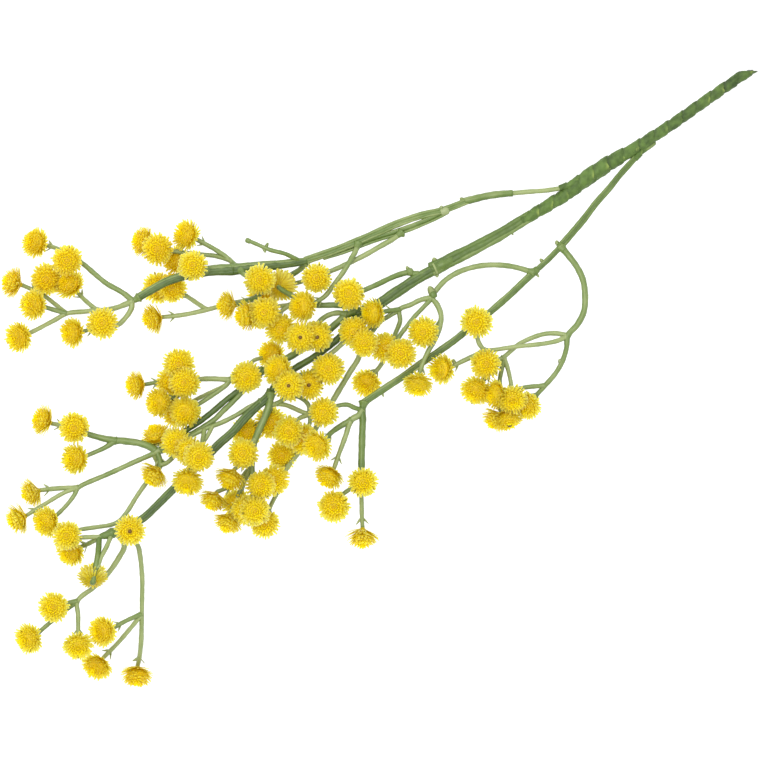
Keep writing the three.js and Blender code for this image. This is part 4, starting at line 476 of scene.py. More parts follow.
# %% One finished piece from many skins
def put(name, skins, material, nodes, smooth=True):
    """Joins skins into one mesh object at the origin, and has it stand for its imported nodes.

    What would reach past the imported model's box, or under the table, is pressed flat on that side.
    """
    starts = np.cumsum([0] + [len(skin[0]) for skin in skins[:-1]])
    points = np.concatenate([skin[0] for skin in skins])
    quads = np.concatenate([skin[1] + start for skin, start in zip(skins, starts)])
    fans = np.concatenate([skin[2] + start for skin, start in zip(skins, starts)])
    mesh = bpy.data.meshes.new(name)
    mesh.vertices.add(len(points))
    places = np.clip(to_metres(points), *CAD_BOX)
    mesh.vertices.foreach_set("co", places.astype(np.float32).ravel())
    corners = np.concatenate([quads.ravel(), fans.ravel()]).astype(np.int32)
    first = np.concatenate([4 * np.arange(len(quads)), 4 * len(quads) + 3 * np.arange(len(fans))])
    mesh.loops.add(len(corners))
    mesh.loops.foreach_set("vertex_index", corners)
    mesh.polygons.add(len(first))
    mesh.polygons.foreach_set("loop_start", first.astype(np.int32))
    mesh.update(calc_edges=True)
    mesh.polygons.foreach_set("use_smooth", np.full(len(first), smooth))
    for channel, place in (("finish", 3), ("grain", 4)):
        layer = mesh.attributes.new(channel, "FLOAT_VECTOR", "POINT")
        values = np.concatenate([skin[place] for skin in skins])
        layer.data.foreach_set("vector", values.astype(np.float32).ravel())
    mesh.validate()
    mesh.materials.append(material)
    piece = bpy.data.objects.new(name, mesh)
    bpy.context.scene.collection.objects.link(piece)
    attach(piece, "root")
    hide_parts(*nodes)
    print(name, "triangles:", 2 * len(quads) + len(fans))
    return piece


# %% [markdown]
# ## A profile carried along a path
# A moulded stalk is never quite round: the two halves of the mould leave a fine ridge down each side,
# and the plastic shrinks into gentle waves. The path is a smooth cubic through the route's points, with
# the slope at each point taken from its neighbours, and the profile is a circle whose radius is
# multiplied by those waves and ridges.

# %% The smooth line through a route
def smooth_line(route, spacing):
    """Stations along a route of [x, y, z, radius], about `spacing` mm apart.

    Between two points the line is the cubic that leaves the first and reaches the second with slopes
    that weigh the steps on both sides, each step measured by the square root of its length. The radius
    changes evenly.
    """
    route = np.asarray(route, float)
    places = route[:, :3]
    lengths = np.linalg.norm(np.diff(places, axis=0), axis=1)
    steps = np.sqrt(np.concatenate([lengths[:1], lengths, lengths[-1:]]))[:, None]
    padded = np.vstack([2 * places[0] - places[1], places, 2 * places[-1] - places[-2]])
    rates = np.diff(padded, axis=0) / steps
    slopes = (steps[1:] * rates[:-1] + steps[:-1] * rates[1:]) / (steps[1:] + steps[:-1])
    counts = np.maximum(1, np.ceil(lengths / spacing)).astype(int)
    part = np.append(np.repeat(np.arange(len(counts)), counts), len(counts) - 1)
    within = np.arange(counts.sum() + 1) - np.append(0, np.cumsum(counts))[part]
    f = (within / counts[part])[:, None]
    step = steps[1:-1][part]
    line = ((2 * f**3 - 3 * f**2 + 1) * places[part] + (f**3 - 2 * f**2 + f) * step * slopes[part]
            + (3 * f**2 - 2 * f**3) * places[part + 1] + (f**3 - f**2) * step * slopes[part + 1])
    radius = (1 - f[:, 0]) * route[part, 3] + f[:, 0] * route[part + 1, 3]
    return line, radius


def unit(vectors):
    """Each vector divided by its length."""
    return vectors / np.linalg.norm(vectors, axis=-1, keepdims=True)


def directions(line):
    """The way on at each station, the level side of it, and the way up square to both."""
    on = unit(np.gradient(line, axis=0))
    steepest = np.abs(on).max(axis=0)
    reference = np.eye(3)[2 if steepest[2] < 0.9 else steepest.argmin()]
    side = unit(np.cross(reference, on))
    return on, side, np.cross(on, side)


def distance_along(line):
    """The distance from the first station to each, as a column."""
    return np.append(0, np.cumsum(np.linalg.norm(np.diff(line, axis=0), axis=1)))[:, None]


def spokes_of(angle, side, up):
    """cos(angle) * side + sin(angle) * up, for every station and angle."""
    return np.cos(angle)[..., None] * side[:, None] + np.sin(angle)[..., None] * up[:, None]


STEM_STATIONS, _ = smooth_line([[*point, 1.0] for point in STEM_LINE], 1.0)
print("the stem from end to end, in mm:", round(float(distance_along(STEM_STATIONS)[-1, 0]), 1))

# %% A tube with moulding waves and ridges
RIDGE_WIDTH = 0.25  # of the parting ridge, as the sine of the angle from it
FLANK_SHADE = 0.6  # how much darker the two flanks are painted, as painted shade where the tube turns from the light above
WEB_LENGTH = 1.2  # mm in which a flared foot falls to a third


def moulded(along, angle, waves=0.035, ridge=0.08, start=0.0):
    """The share by which a radius changes: two sines along the piece and one that winds round it, and a
    narrow rise at angle 0 and half a turn.
    """
    return (1 + waves * np.sin(along / 1.7 + 3 * start) + waves * np.sin(along / 0.63 + 5 * start)
            + 0.7 * waves * np.sin(3 * angle + along / 2.3)
            + ridge * np.exp(-(np.sin(angle) / RIDGE_WIDTH) ** 2))


def tube(route, sides=10, spacing=1.1, tone=0.0, split=0.0, bulge=0.35, flare=0.0, **mould):
    """A closed tube: centre + radius * share(along, angle) * (cos(angle) * side + sin(angle) * up).

    Its ends are closed by a point that stands out by `bulge` radii, and `flare` widens its foot.
    "finish" holds tone, radius and share along; tone is `tone` plus `split` times cos(angle), painted
    light on one side and painted shade on the other, less FLANK_SHADE on both flanks, at angle 0 and
    half a turn, as painted shade. "grain" holds the way along and round.
    """
    line, radius = smooth_line(route, spacing)
    on, side, up = directions(line)
    along = distance_along(line)
    angle = 2 * np.pi * np.arange(sides)[None, :] / sides
    share = moulded(along, angle, start=route[0][0], **mould) + flare * np.exp(-along / WEB_LENGTH)
    rings = line[:, None] + (radius[:, None] * share)[..., None] * spokes_of(angle, side, up)
    first = line[:1] - bulge * radius[0] * on[:1]
    last = line[-1:] + bulge * radius[-1] * on[-1:]
    shape = (1, len(line), sides)
    # painted light and shade: one side lighter and the other darker by `split`, and painted shade on both
    # flanks
    shades = tone + split * np.cos(angle) - FLANK_SHADE * np.exp(-(np.sin(angle) / 0.45) ** 2)
    finish = for_each_point(shades, radius[:, None], along / along[-1], shape=shape)
    round_ = radius.mean() * np.stack([np.sin(angle), np.cos(angle)])
    return (*closed_skins(rings[None], first, last), finish, for_each_point(along, *round_, shape=shape))


def with_radii(points, first, last):
    """Points with a radius that changes evenly from the first to the last."""
    return np.column_stack([points, np.linspace(first, last, len(points))])


LOOSE_STALK = tube([[0, 0, 0, 0.9], [20, 0, 0, 0.9]])
print("triangles of a stalk of 20 mm:", 2 * len(LOOSE_STALK[1]) + len(LOOSE_STALK[2]))

# %% [markdown]
# ## Thin blades
# Petals, the small scale leaves under the florets and the torn bits of flash on the mouldings are all
# thin straps. A plane with a Solidify modifier would do, but a strap with four corners round it, two
# edges, a top and a bottom, is already closed and costs two dozen faces, which matters for thousands.

# %% Many straps at once
TIP_REACH = 0.28  # how far the last point stands out, as a share of the width: a blunt tip


def straps(middle, across, width, thickness, gutter, finish, grain):
    """Closed blades along M middle lines of S points.

    Round each point are the left edge, the top, the right edge and the bottom. Top and bottom are half
    the thickness off the line and both sink by `gutter` times the width, so the blade is a channel.
    """
    on = unit(np.gradient(middle, axis=1))
    up = unit(np.cross(on, across))
    half = 0.5 * width[..., None] * across
    sink = gutter * width[..., None] * up
    thick = 0.5 * thickness * up
    corners = [middle + half, middle + thick - sink, middle - half, middle - thick - sink]
    rings = np.stack(corners, axis=2)
    first = middle[:, 0] - 0.1 * on[:, 0]
    last = middle[:, -1] + TIP_REACH * width[:, -1:] * on[:, -1] - 0.5 * sink[:, -1]
    shape = rings.shape[:3]
    return (*closed_skins(rings, first, last), for_each_point(*finish, shape=shape),
            for_each_point(*grain, shape=shape))


LOOSE_BLADE = straps(np.array([[[x, 0.0, 0.0] for x in range(5)]]), np.array([0.0, 1.0, 0.0]),
                     np.ones((1, 5)), 0.2, 0.0, (0.0, 0.0, 0.0), (0.0, 0.0, 0.0))
print("triangles of a blade of five stations:", 2 * len(LOOSE_BLADE[1]) + len(LOOSE_BLADE[2]))

# %% [markdown]
# ## Colour
# Web colours are how a maker would read a swatch, and the renderer wants linear light, so one function
# turns one into the other. Another adds a node, sets it up and links it.

# %% Swatches and nodes
def swatch(code):
    """Linear red, green, blue and 1 from a hex code: ((c + 0.055) / 1.055) ** 2.4 above a small toe."""
    channels = np.array([int(code[i:i + 2], 16) for i in (1, 3, 5)]) / 255
    linear = np.where(channels <= 0.04045, channels / 12.92, ((channels + 0.055) / 1.055) ** 2.4)
    return (*(float(c) for c in linear), 1.0)


def fill(tree, made, sockets):
    """Links each socket of a node that is given another node's socket, and sets the rest to values."""
    for key, value in sockets.items():
        if isinstance(value, bpy.types.NodeSocket):
            tree.links.new(value, made.inputs[key])
        else:
            made.inputs[key].default_value = value


def node(tree, kind, sockets=None, **settings):
    """Adds one node, sets its properties and fills its sockets."""
    made = tree.nodes.new(kind)
    for key, value in settings.items():
        setattr(made, key, value)
    fill(tree, made, sockets or {})
    return made


def new_material(name):
    """A material with its node tree and its surface shader."""
    material = bpy.data.materials.new(name)
    material.use_nodes = True
    return material, material.node_tree, material.node_tree.nodes["Principled BSDF"]


def per_mm(size):
    """Noise scale in Object coordinates, which are metres, for a pattern of this size in mm."""
    return 1000 / size


print("linear light of a mid grey swatch:", swatch("#808080"))

# %% [markdown]
# ## The yellow plastic of the petals
# Gypsophila heads of this kind are injection moulded in soft polyethylene that is dyed all through. The
# thin tips let light in and look greener and paler, and the foot of each petal, deep among the others, is
# painted a deeper orange, as painted light that has passed through several of them. A faint painted glow
# of the petal colour keeps the gaps between petals bright. Soft polyethylene has a dull sheen with a fine
# grain from the mould.

# %% Dyed polyethylene, moulded thin
def dyed_petal_plastic():
    material, tree, shader = new_material("dyed_polyethylene_petals")
    finish = node(tree, "ShaderNodeAttribute", attribute_name="finish")
    split = node(tree, "ShaderNodeSeparateXYZ", {0: finish.outputs["Vector"]})
    place = node(tree, "ShaderNodeTexCoord").outputs["Object"]
    patches = node(tree, "ShaderNodeTexNoise", {"Vector": place, "Scale": per_mm(3.0), "Detail": 3.0})
    depth = node(tree, "ShaderNodeMapRange", {"Value": split.outputs["Z"], "From Min": 0.0,
                 "From Max": 0.5}, interpolation_type="SMOOTHSTEP")
    # painted light: the feet of the petals, deep among the others, are painted a deeper orange, the colour
    # of light that has passed through other petals
    heart = node(tree, "ShaderNodeMix", {0: depth.outputs[0], 6: swatch("#F0C606"),
                 7: swatch("#F0CE06")}, data_type="RGBA")
    edge = node(tree, "ShaderNodeMapRange", {"Value": split.outputs["Y"], "From Min": 0.45,
                "From Max": 1.0, "To Max": 0.9})
    tips = node(tree, "ShaderNodeMix", {0: edge.outputs[0], 6: heart.outputs[2], 7: swatch("#C6C44A")},
                data_type="RGBA")
    # painted shade: a floret whose tone falls from 1 to -1, as florets lower in the spray do, is painted up
    # to 0.4 of the way to a deeper, duller orange
    low_floret_painted_shade = node(tree, "ShaderNodeMapRange", {"Value": split.outputs["X"], "From Min": 1.0,
                 "From Max": -1.0, "To Max": 0.4})
    shade = node(tree, "ShaderNodeMix", {0: low_floret_painted_shade.outputs[0], 6: tips.outputs[2], 7: swatch("#F0B804")},
                 data_type="RGBA")
    lift = node(tree, "ShaderNodeMapRange", {"Value": patches.outputs["Fac"], "From Min": 0.3,
                "From Max": 0.7, "To Min": 0.79, "To Max": 0.84})
    # painted light: the inner cups catch most light and are painted up to a sixth brighter
    inner = node(tree, "ShaderNodeSeparateXYZ", {0: node(tree, "ShaderNodeAttribute",
                 attribute_name="grain").outputs["Vector"]})
    inner_cup_painted_light = node(tree, "ShaderNodeMath", {0: inner.outputs["Z"], 1: 0.15, 2: lift.outputs[0]},
                 operation="MULTIPLY_ADD")
    colour = node(tree, "ShaderNodeVectorMath", {0: shade.outputs[2], "Scale": inner_cup_painted_light.outputs[0]},
                  operation="SCALE")
    grain = node(tree, "ShaderNodeTexNoise", {"Vector": place, "Scale": per_mm(0.4), "Detail": 2.0})
    bump = node(tree, "ShaderNodeBump", {"Height": grain.outputs["Fac"], "Strength": 0.25,
                "Distance": 0.00005})
    # painted glow: a faint emission of the petal colour keeps the gaps between petals bright
    fill(tree, shader, {
        "Base Color": colour.outputs[0], "Emission Color": colour.outputs[0], "Emission Strength": 0.08,
        "Normal": bump.outputs[0], "Roughness": 0.5, "Specular IOR Level": 0.2, "IOR": 1.51,
        "Subsurface Weight": 0.9, "Subsurface Radius": (1.0, 0.9, 0.25), "Subsurface Scale": 0.003,
    })
    return material


PETAL_PLASTIC = dyed_petal_plastic()
print("made", PETAL_PLASTIC.name)

# %% [markdown]
# ## The green plastic of the stalks
# Stalks and branches come from the mould in a slightly cloudy green polyethylene. Thin parts look pale
# and olive because light gets through them, thick ones look deeper. The plastic is drawn along the
# stalk as it fills the mould, which leaves long faint streaks.

# %% Green polyethylene, moulded in long runs
def moulded_green_plastic():
    material, tree, shader = new_material("moulded_green_polyethylene")
    finish = node(tree, "ShaderNodeAttribute", attribute_name="finish")
    split = node(tree, "ShaderNodeSeparateXYZ", {0: finish.outputs["Vector"]})
    run = node(tree, "ShaderNodeAttribute", attribute_name="grain").outputs["Vector"]
    place = node(tree, "ShaderNodeTexCoord").outputs["Object"]
    clouds = node(tree, "ShaderNodeTexNoise", {"Vector": place, "Scale": per_mm(9.0), "Detail": 3.0})
    # grain is in millimetres: a streak is about 5 mm long and 0.5 mm wide
    drawn = node(tree, "ShaderNodeVectorMath", {0: run, 1: (0.2, 2.0, 2.0)}, operation="MULTIPLY")
    streaks = node(tree, "ShaderNodeTexNoise", {"Vector": drawn.outputs[0], "Scale": 1.0, "Detail": 3.0})
    cloudy = node(tree, "ShaderNodeMath", {0: clouds.outputs["Fac"], 1: 1.3, 2: split.outputs["X"]},
                  operation="MULTIPLY_ADD")
    level = node(tree, "ShaderNodeMath", {0: streaks.outputs["Fac"], 1: 1.1, 2: cloudy.outputs[0]},
                 operation="MULTIPLY_ADD")
    # both noises lie round a half, so 1.2 is taken off again
    low = node(tree, "ShaderNodeMapRange", {"Value": level.outputs[0], "From Min": 0.2, "From Max": 1.2})
    high = node(tree, "ShaderNodeMapRange", {"Value": level.outputs[0], "From Min": 1.2, "From Max": 2.2})
    deep = node(tree, "ShaderNodeMix", {0: low.outputs[0], 6: swatch("#3A5218"), 7: swatch("#627A36")},
                data_type="RGBA")
    pale = node(tree, "ShaderNodeMix", {0: high.outputs[0], 6: deep.outputs[2], 7: swatch("#95A268")},
                data_type="RGBA")
    # painted shade: the tip of a peg that shows in a floret's pit is painted dark brown, the pit's shade
    # tinted by the yellow petals; its tone is under -1.6
    pit_painted_shade = node(tree, "ShaderNodeMapRange", {"Value": split.outputs["X"], "From Min": -1.6,
                 "From Max": -2.4})
    dark = node(tree, "ShaderNodeMix", {0: pit_painted_shade.outputs[0], 6: pale.outputs[2], 7: swatch("#6B4D0A")},
                data_type="RGBA")
    # torn flash is bruised white: its tone is over 2
    bruised = node(tree, "ShaderNodeMapRange", {"Value": split.outputs["X"], "From Min": 2.0,
                   "From Max": 3.0})
    colour = node(tree, "ShaderNodeMix", {0: bruised.outputs[0], 6: dark.outputs[2],
                  7: swatch("#A9AE97")}, data_type="RGBA")
    bump = node(tree, "ShaderNodeBump", {"Height": streaks.outputs["Fac"], "Strength": 0.5,
                "Distance": 0.00008})
    fill(tree, shader, {
        "Base Color": colour.outputs[2], "Normal": bump.outputs[0], "Roughness": 0.42, "IOR": 1.51,
        "Subsurface Weight": 0.04, "Subsurface Radius": (0.8, 1.0, 0.3), "Subsurface Scale": 0.0008,
    })
    return material


GREEN_PLASTIC = moulded_green_plastic()
print("made", GREEN_PLASTIC.name)

# %% [markdown]
# ## The core wire
# The wire is what lets the spray be bent. Only its cut tip shows at the end of the stem, as dull grey
# steel with the fine lines of the die that it was drawn through. It is a plain tube: what matters is
# that it ends on the same slanting plane as the tape round it, and stands out of that by a hair.

# %% Drawn steel wire, sheared
def drawn_steel():
    material, tree, shader = new_material("drawn_steel_wire")
    run = node(tree, "ShaderNodeAttribute", attribute_name="grain").outputs["Vector"]
    # drawing lines run along the wire, about 0.1 mm apart
    drawn = node(tree, "ShaderNodeVectorMath", {0: run, 1: (0.3, 10.0, 10.0)}, operation="MULTIPLY")
    lines = node(tree, "ShaderNodeTexNoise", {"Vector": drawn.outputs[0], "Scale": 1.0, "Detail": 2.0})
    colour = node(tree, "ShaderNodeMix", {0: lines.outputs["Fac"], 6: swatch("#4E5052"),
                  7: swatch("#A8ABAD")}, data_type="RGBA")
    rough = node(tree, "ShaderNodeMapRange", {"Value": lines.outputs["Fac"], "To Min": 0.28,
                 "To Max": 0.5})
    fill(tree, shader, {"Base Color": colour.outputs[2], "Roughness": rough.outputs[0], "Metallic": 1.0})
    return material


WIRE_STEEL = drawn_steel()
print("made", WIRE_STEEL.name)

# %% The slanted cut through wire and tape
CUT_AT = np.array([-1.8, -1.87, 2.3])
CUT_FACES = np.array([np.cos(np.radians(238)), np.sin(np.radians(238)), 0.0])
SLIDE_LENGTH = 10.0  # how far along the stem the rings go on being pulled towards the cut, in mm
WIRE_STANDS_OUT = 0.5  # mm
WIRE_STATIONS = STEM_LINE[1:6]  # the stem's points that the wire passes before its own end


def slide(points, on, out):
    """How far along `on` each point is from the plane that stands `out` before the cut:
    ((cut - point) . facing + out) / (on . facing).
    """
    return ((CUT_AT - points) @ CUT_FACES + out) / (on @ CUT_FACES)


def core_wire(sides=16):
    """A plain tube round the wire's line, its rings pulled on to the plane of the cut."""
    route = [CUT_AT, *WIRE_STATIONS, WIRE_END]
    line, _ = smooth_line(with_radii(route, WIRE_RADIUS, WIRE_RADIUS), 2.0)
    on, side, up = directions(line)
    along = distance_along(line)
    angle = 2 * np.pi * np.arange(sides) / sides
    rings = line[:, None] + WIRE_RADIUS * spokes_of(angle, side, up)
    pull = slide(rings[0], on[0], WIRE_STANDS_OUT) * np.clip(1 - along / SLIDE_LENGTH, 0, 1)
    rings += pull[..., None] * on[:, None]
    shape = (1, len(line), sides)
    first = rings[0].mean(axis=0, keepdims=True)
    return (*closed_skins(rings[None], first, line[-1:]), for_each_point(0.0, 0.0, 0.0, shape=shape),
            for_each_point(along, np.sin(angle), np.cos(angle), shape=shape))


put("core_wire", [core_wire()], WIRE_STEEL, ["stem_wire"])

# %% [markdown]
# ## The tape round the stem
# Floral tape is crepe that is stretched as it is wound, so each turn lies over the edge of the one
# before it with a small step, and the crepe leaves fine cross wrinkles. A spiral could be a strip bent
# round a cylinder, but a tube whose radius steps down once a turn has the same look and stays closed:
# the step is where the distance along, in turns, plus the angle, in turns, is a whole number.

# %% The stretched crepe of the tape
TAPE_PITCH = 7.8  # mm along the stem for one turn
TAPE_START = 9.25  # how far into its winding the tape is at the cut, in mm
TAPE_STEP = 0.45  # how much higher a lap starts than the last one ends, in mm
TAPE_PUFF = 0.16  # how much a lap swells in its middle, in mm
SHADED_FROM = 0.78  # the share of a lap after which it is painted dark, as painted shade under the next lap's step
DARKEST_BEFORE_CUT = 2.0  # mm before the cut's middle, from where the tape is given the darkest colour of a lap


def stretched_tape():
    material, tree, shader = new_material("stretched_floral_tape")
    finish = node(tree, "ShaderNodeAttribute", attribute_name="finish")
    split = node(tree, "ShaderNodeSeparateXYZ", {0: finish.outputs["Vector"]})
    run = node(tree, "ShaderNodeAttribute", attribute_name="grain").outputs["Vector"]
    place = node(tree, "ShaderNodeTexCoord").outputs["Object"]
    patches = node(tree, "ShaderNodeTexNoise", {"Vector": place, "Scale": per_mm(3.0), "Detail": 4.0})
    # crepe wrinkles are 0.4 mm apart and cross the tape; drawn 0.6 mm apart so that they show
    crossed = node(tree, "ShaderNodeVectorMath", {0: run, 1: (0.5, 1.7, 1.7)}, operation="MULTIPLY")
    crepe = node(tree, "ShaderNodeTexNoise", {"Vector": crossed.outputs[0], "Scale": 1.0, "Detail": 4.0,
                 "Roughness": 0.65})
    uneven = node(tree, "ShaderNodeMapRange", {"Value": patches.outputs["Fac"], "From Min": 0.25,
                  "From Max": 0.75, "To Min": -0.5, "To Max": 0.5})
    stretch = node(tree, "ShaderNodeMath", {0: uneven.outputs[0], 1: split.outputs["Z"]}, use_clamp=True)
    base = node(tree, "ShaderNodeMix", {0: stretch.outputs[0], 6: swatch("#344A1D"),
                7: swatch("#5E7A35")}, data_type="RGBA")
    # painted highlight: a light glint where a lap's edge crosses the top, the lap's start times the
    # finish's Y
    edge = node(tree, "ShaderNodeMapRange", {"Value": split.outputs["X"], "From Min": 0.2,
                "From Max": 0.0})
    bare = node(tree, "ShaderNodeMath", {0: edge.outputs[0], 1: split.outputs["Y"]},
                operation="MULTIPLY")
    lapped = node(tree, "ShaderNodeMix", {0: bare.outputs[0], 6: base.outputs[2], 7: swatch("#9AAC55")},
                  data_type="RGBA")
    # painted shade: the end of each lap, under the step of the next, is painted dark grey
    step_painted_shade = node(tree, "ShaderNodeMapRange", {"Value": split.outputs["X"], "From Min": SHADED_FROM,
                "From Max": 1.0, "To Max": 0.65})
    colour = node(tree, "ShaderNodeMix", {0: step_painted_shade.outputs[0], 6: lapped.outputs[2],
                  7: swatch("#3A4232")}, data_type="RGBA")
    bump = node(tree, "ShaderNodeBump", {"Height": crepe.outputs["Fac"], "Strength": 0.7,
                "Distance": 0.00025})
    fill(tree, shader, {"Base Color": colour.outputs[2], "Normal": bump.outputs[0], "Roughness": 0.55,
         "Specular IOR Level": 0.35})
    return material


TAPE_CREPE = stretched_tape()
print("made", TAPE_CREPE.name)

# %% Tape wound round a route
rng = np.random.default_rng(41)
LAP_SHADES = rng.uniform(0.0, 1.0, 40)


def wound(route, start, cut=False, sides=48):
    """A tube round a route: radius + step * (0.5 - lap) + a puff in the middle of each lap + wrinkles.

    lap is the part past the whole number of (start + along) / pitch + angle / one turn - a quarter,
    plus two small waves, since the tape's edge never runs true. At the cut, rings are pulled on to its
    plane. "finish" holds the lap, a painted highlight where a lap's edge crosses the top, and how
    pale the lap is, which grows along the stem. The end of each lap is painted dark, as painted shade
    under the next lap's step, most on one flank, at angle 2.6, and a third as dark elsewhere, and the
    rim of the cut is given the colour of a lap's end.
    """
    line, radius = smooth_line(route, 0.33)
    on, side, up = directions(line)
    along = distance_along(line)
    angle = 2 * np.pi * np.arange(sides)[None, :] / sides
    spokes = spokes_of(angle, side, up)
    reach = slide(line[0] + radius[0] * spokes[0], on[0], 0) if cut else np.zeros(sides)
    place = along + reach * np.clip(1 - along / SLIDE_LENGTH, 0, 1)
    turns = ((start + place) / TAPE_PITCH + angle / (2 * np.pi) - 0.25
             + 0.035 * np.sin(2 * angle + 0.43 * place) + 0.02 * np.sin(5 * angle - 1.1 * place))
    number = np.floor(turns).astype(int)
    lap = turns - number
    wrinkle = (0.06 * np.sin(5 * angle + 2.1 * place) + 0.05 * np.sin(3 * angle - 1.3 * place)
               + 0.05 * np.sin(9 * angle + 0.7 * place))
    puff = TAPE_PUFF * (np.sin(np.pi * lap) - 0.5)
    radii = radius[:, None] + TAPE_STEP * (0.5 - lap) + puff + wrinkle
    rings = line[:, None] + radii[..., None] * spokes + (place - along)[..., None] * on[:, None]
    if cut:
        rings[0] += slide(rings[0], on[0], 0)[:, None] * on[0]
    shades = LAP_SHADES[number % len(LAP_SHADES)]
    # painted highlight: a glint near the top, at angle 1.35, on the laps whose draw is high enough
    thin = np.exp(-((angle - 1.35) / 0.4) ** 2) * np.clip(2.2 * shades - 0.9, 0, 1)
    # painted shade: a lap's dark end is darkest on one flank, at angle 2.6, and a third as dark elsewhere
    groove_shade_side = 0.35 + 0.65 * np.exp(-((angle - 2.6) / 0.7) ** 2)
    lap = np.where(lap > SHADED_FROM, SHADED_FROM + (lap - SHADED_FROM) * groove_shade_side, lap)
    # the tape at the cut's rim, more than 2 mm before the cut's middle, is given the darkest colour of a
    # lap
    lap = np.where(place < -DARKEST_BEFORE_CUT, 1.0, lap)
    pale = 0.25 + 0.35 * np.clip(line[:, :1] / 90, 0, 1) + 0.3 * shades
    shape = (1, len(line), sides)
    round_ = radius.mean() * np.stack([np.sin(angle), np.cos(angle)])
    first = rings[0].mean(axis=0, keepdims=True)
    return (*closed_skins(rings[None], first, line[-1:]), for_each_point(lap, thin, pale, shape=shape),
            for_each_point(along, *round_, shape=shape))


print("shades of the first laps:", LAP_SHADES[:5].round(2))

# %% The line that the tape follows along the stem
# the last turns go on over the middle branch: two more points, and x and radius of the tape's end
TAPE_END = [[118, 1.42, 15.9], [121.6, 1.4, 16.4]]
TAPE_END_RADIUS = [122, 2.1]
TAPE_FULLNESS = 0.15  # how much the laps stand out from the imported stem, in mm
stem_line = [CUT_AT.tolist(), *STEM_LINE[1:], *TAPE_END]
stem_radii = np.transpose([*STEM_RADII, TAPE_END_RADIUS])
stem_route = np.array([[*p, TAPE_FULLNESS + np.interp(p[0], *stem_radii)] for p in stem_line])
print("thickness of the wound stem in mm:", (2 * stem_route[:, 3]).round(1).tolist())

# %% The wound stem, and the tape laid over the roots of two branches
# x, y, z and radius where the tape passes over a root: it swells out of the stem and closes on the root
OVER_C = [[54, 2.2, 7.3, 0.9], [56.5, 2.8, 8.0, 1.4], [60, 3.5, 9.0, 1.5], [63.4, 4.4, 9.8, 1.3]]
OVER_A = [[88, -1.0, 14.1, 1.5], [93, -1.2, 14.9, 1.55], [96, -1.5, 15.3, 1.5],
          [99.4, -2.3, 15.5, 1.25]]
# the turns that go round the stem and the first branch's root together: x, then how far they lie
# beside and above the stem's own line there, and how much wider they are than the stem
OVER_BOTH = np.array([[60, 0, 0, -0.1], [66, -0.35, 0.2, 0.2], [74, -0.85, 0.5, 0.5],
                      [84, -0.95, 0.6, 0.55], [90, -0.8, 0.6, 0.45], [95, -0.4, 0.3, 0.2],
                      [99, 0, 0, -0.1]])
over_both = OVER_BOTH.copy()
for i in (1, 2, 3):
    over_both[:, i] += np.interp(OVER_BOTH[:, 0], stem_route[:, 0], stem_route[:, i])
# each piece of tape starts at its own place in a turn
put("wound_tape", [wound(stem_route, TAPE_START, cut=True), wound(OVER_C, 3.0, sides=20),
                   wound(OVER_A, 6.0, sides=20), wound(over_both, 8.0, sides=40)],
    TAPE_CREPE, ["stem_tape"])

# %% [markdown]
# ## The three branches
# A branch is moulded as two or three strands that lie against each other, so it shows a groove down
# the middle; one strand is painted lighter than the other, as painted light and shade on its two sides,
# and the groove is painted darker, as painted shade. Sockets stand out of it where the sprays are
# plugged in, and where the mould leaked there are pale torn flakes.

# %% How pale each limb is, and which of its sides is the paler one
# For a limb of two strands, also how far they stand out, in radii: the one on the side of -y, then +y.
# the paler side is painted light and the other side painted shade
LIMB_FINISH = {
    "branch_a root": (1.0, 0.1), "branch_a sleeve": (0.2, -0.3),
    "branch_a second strand": (0.45, -0.1, 0.46, 1.3), "branch_a neck": (0.5, 0.1, 0.9, 0.46),
    "branch_a back": (-0.2, -0.5, 0.46, 0.46), "branch_a shoulder": (-0.2, -0.5, 0.46, 0.46),
    "branch_a far": (-0.2, -0.5, 0.46, 0.46), "branch_a bare twig": (0.3, 0.1),
    "branch_b root": (0.0, 0.0), "branch_b trunk": (0.0, 0.25, 0.8, 0.62),
    "branch_b sleeve": (-0.2, 0.0),
    "branch_b trunk after the sleeve": (-0.35, -0.1, 0.46, 0.6), "branch_b dark strand": (-0.7, -0.2),
    "branch_b light strand": (0.1, -0.4), "branch_b upper limb": (-0.55, -0.15, 0.75, 0.5),
    "branch_b lower limb": (-0.6, 0.1), "branch_b light strand of the lower limb": (0.4, 0.2),
    "branch_c root": (0.0, -0.1, 0.8, 0.6), "branch_c trunk": (0.0, -0.2, 0.5, 0.4),
    "branch_c far trunk": (0.1, -0.25, 0.6, 0.4),
}
LIMB_MOULD = dict(sides=18, spacing=1.0, waves=0.03, ridge=0.04)
STRAND_MOULD = dict(sides=12, spacing=1.0, waves=0.03, ridge=0.0)


def limb_skins(branch, limb):
    """A limb as a moulded tube, or as a core with two strands moulded on its shoulders.

    A strand's line is the limb's own, moved the given radii to one side and 0.3 up, and it has about
    0.56 of the limb's radius, so the limb keeps its width and shows a groove down the middle.
    """
    name, first, last, points = limb
    tone, split, *shoulders = LIMB_FINISH[f"{branch} {name}"]
    route = with_radii(points, first, last)
    if not shoulders:
        return [tube(route, tone=tone, split=split, **LIMB_MOULD)]
    line, radius = smooth_line(route, 4.0)
    _, side, up = directions(line)
    # painted shade: the core, which shows in the groove between the strands, is painted 0.4 darker
    skins = [tube(route * [1, 1, 1, 0.93], tone=tone - 0.4, **LIMB_MOULD)]
    for hand, out in zip((-1, 1), shoulders):
        moved = line + radius[:, None] * (out * hand * side + 0.3 * up)
        wander = 0.04 * np.sin(np.arange(len(line)) * 1.3 + hand)
        strand = np.column_stack([moved, radius * (0.56 + wander)])
        # painted light and shade: one strand is painted lighter and the other darker by `split`
        skins.append(tube(strand, tone=tone + hand * split, **STRAND_MOULD))
    return skins


print("limbs of two strands:", [name for name, finish in LIMB_FINISH.items() if len(finish) > 2])

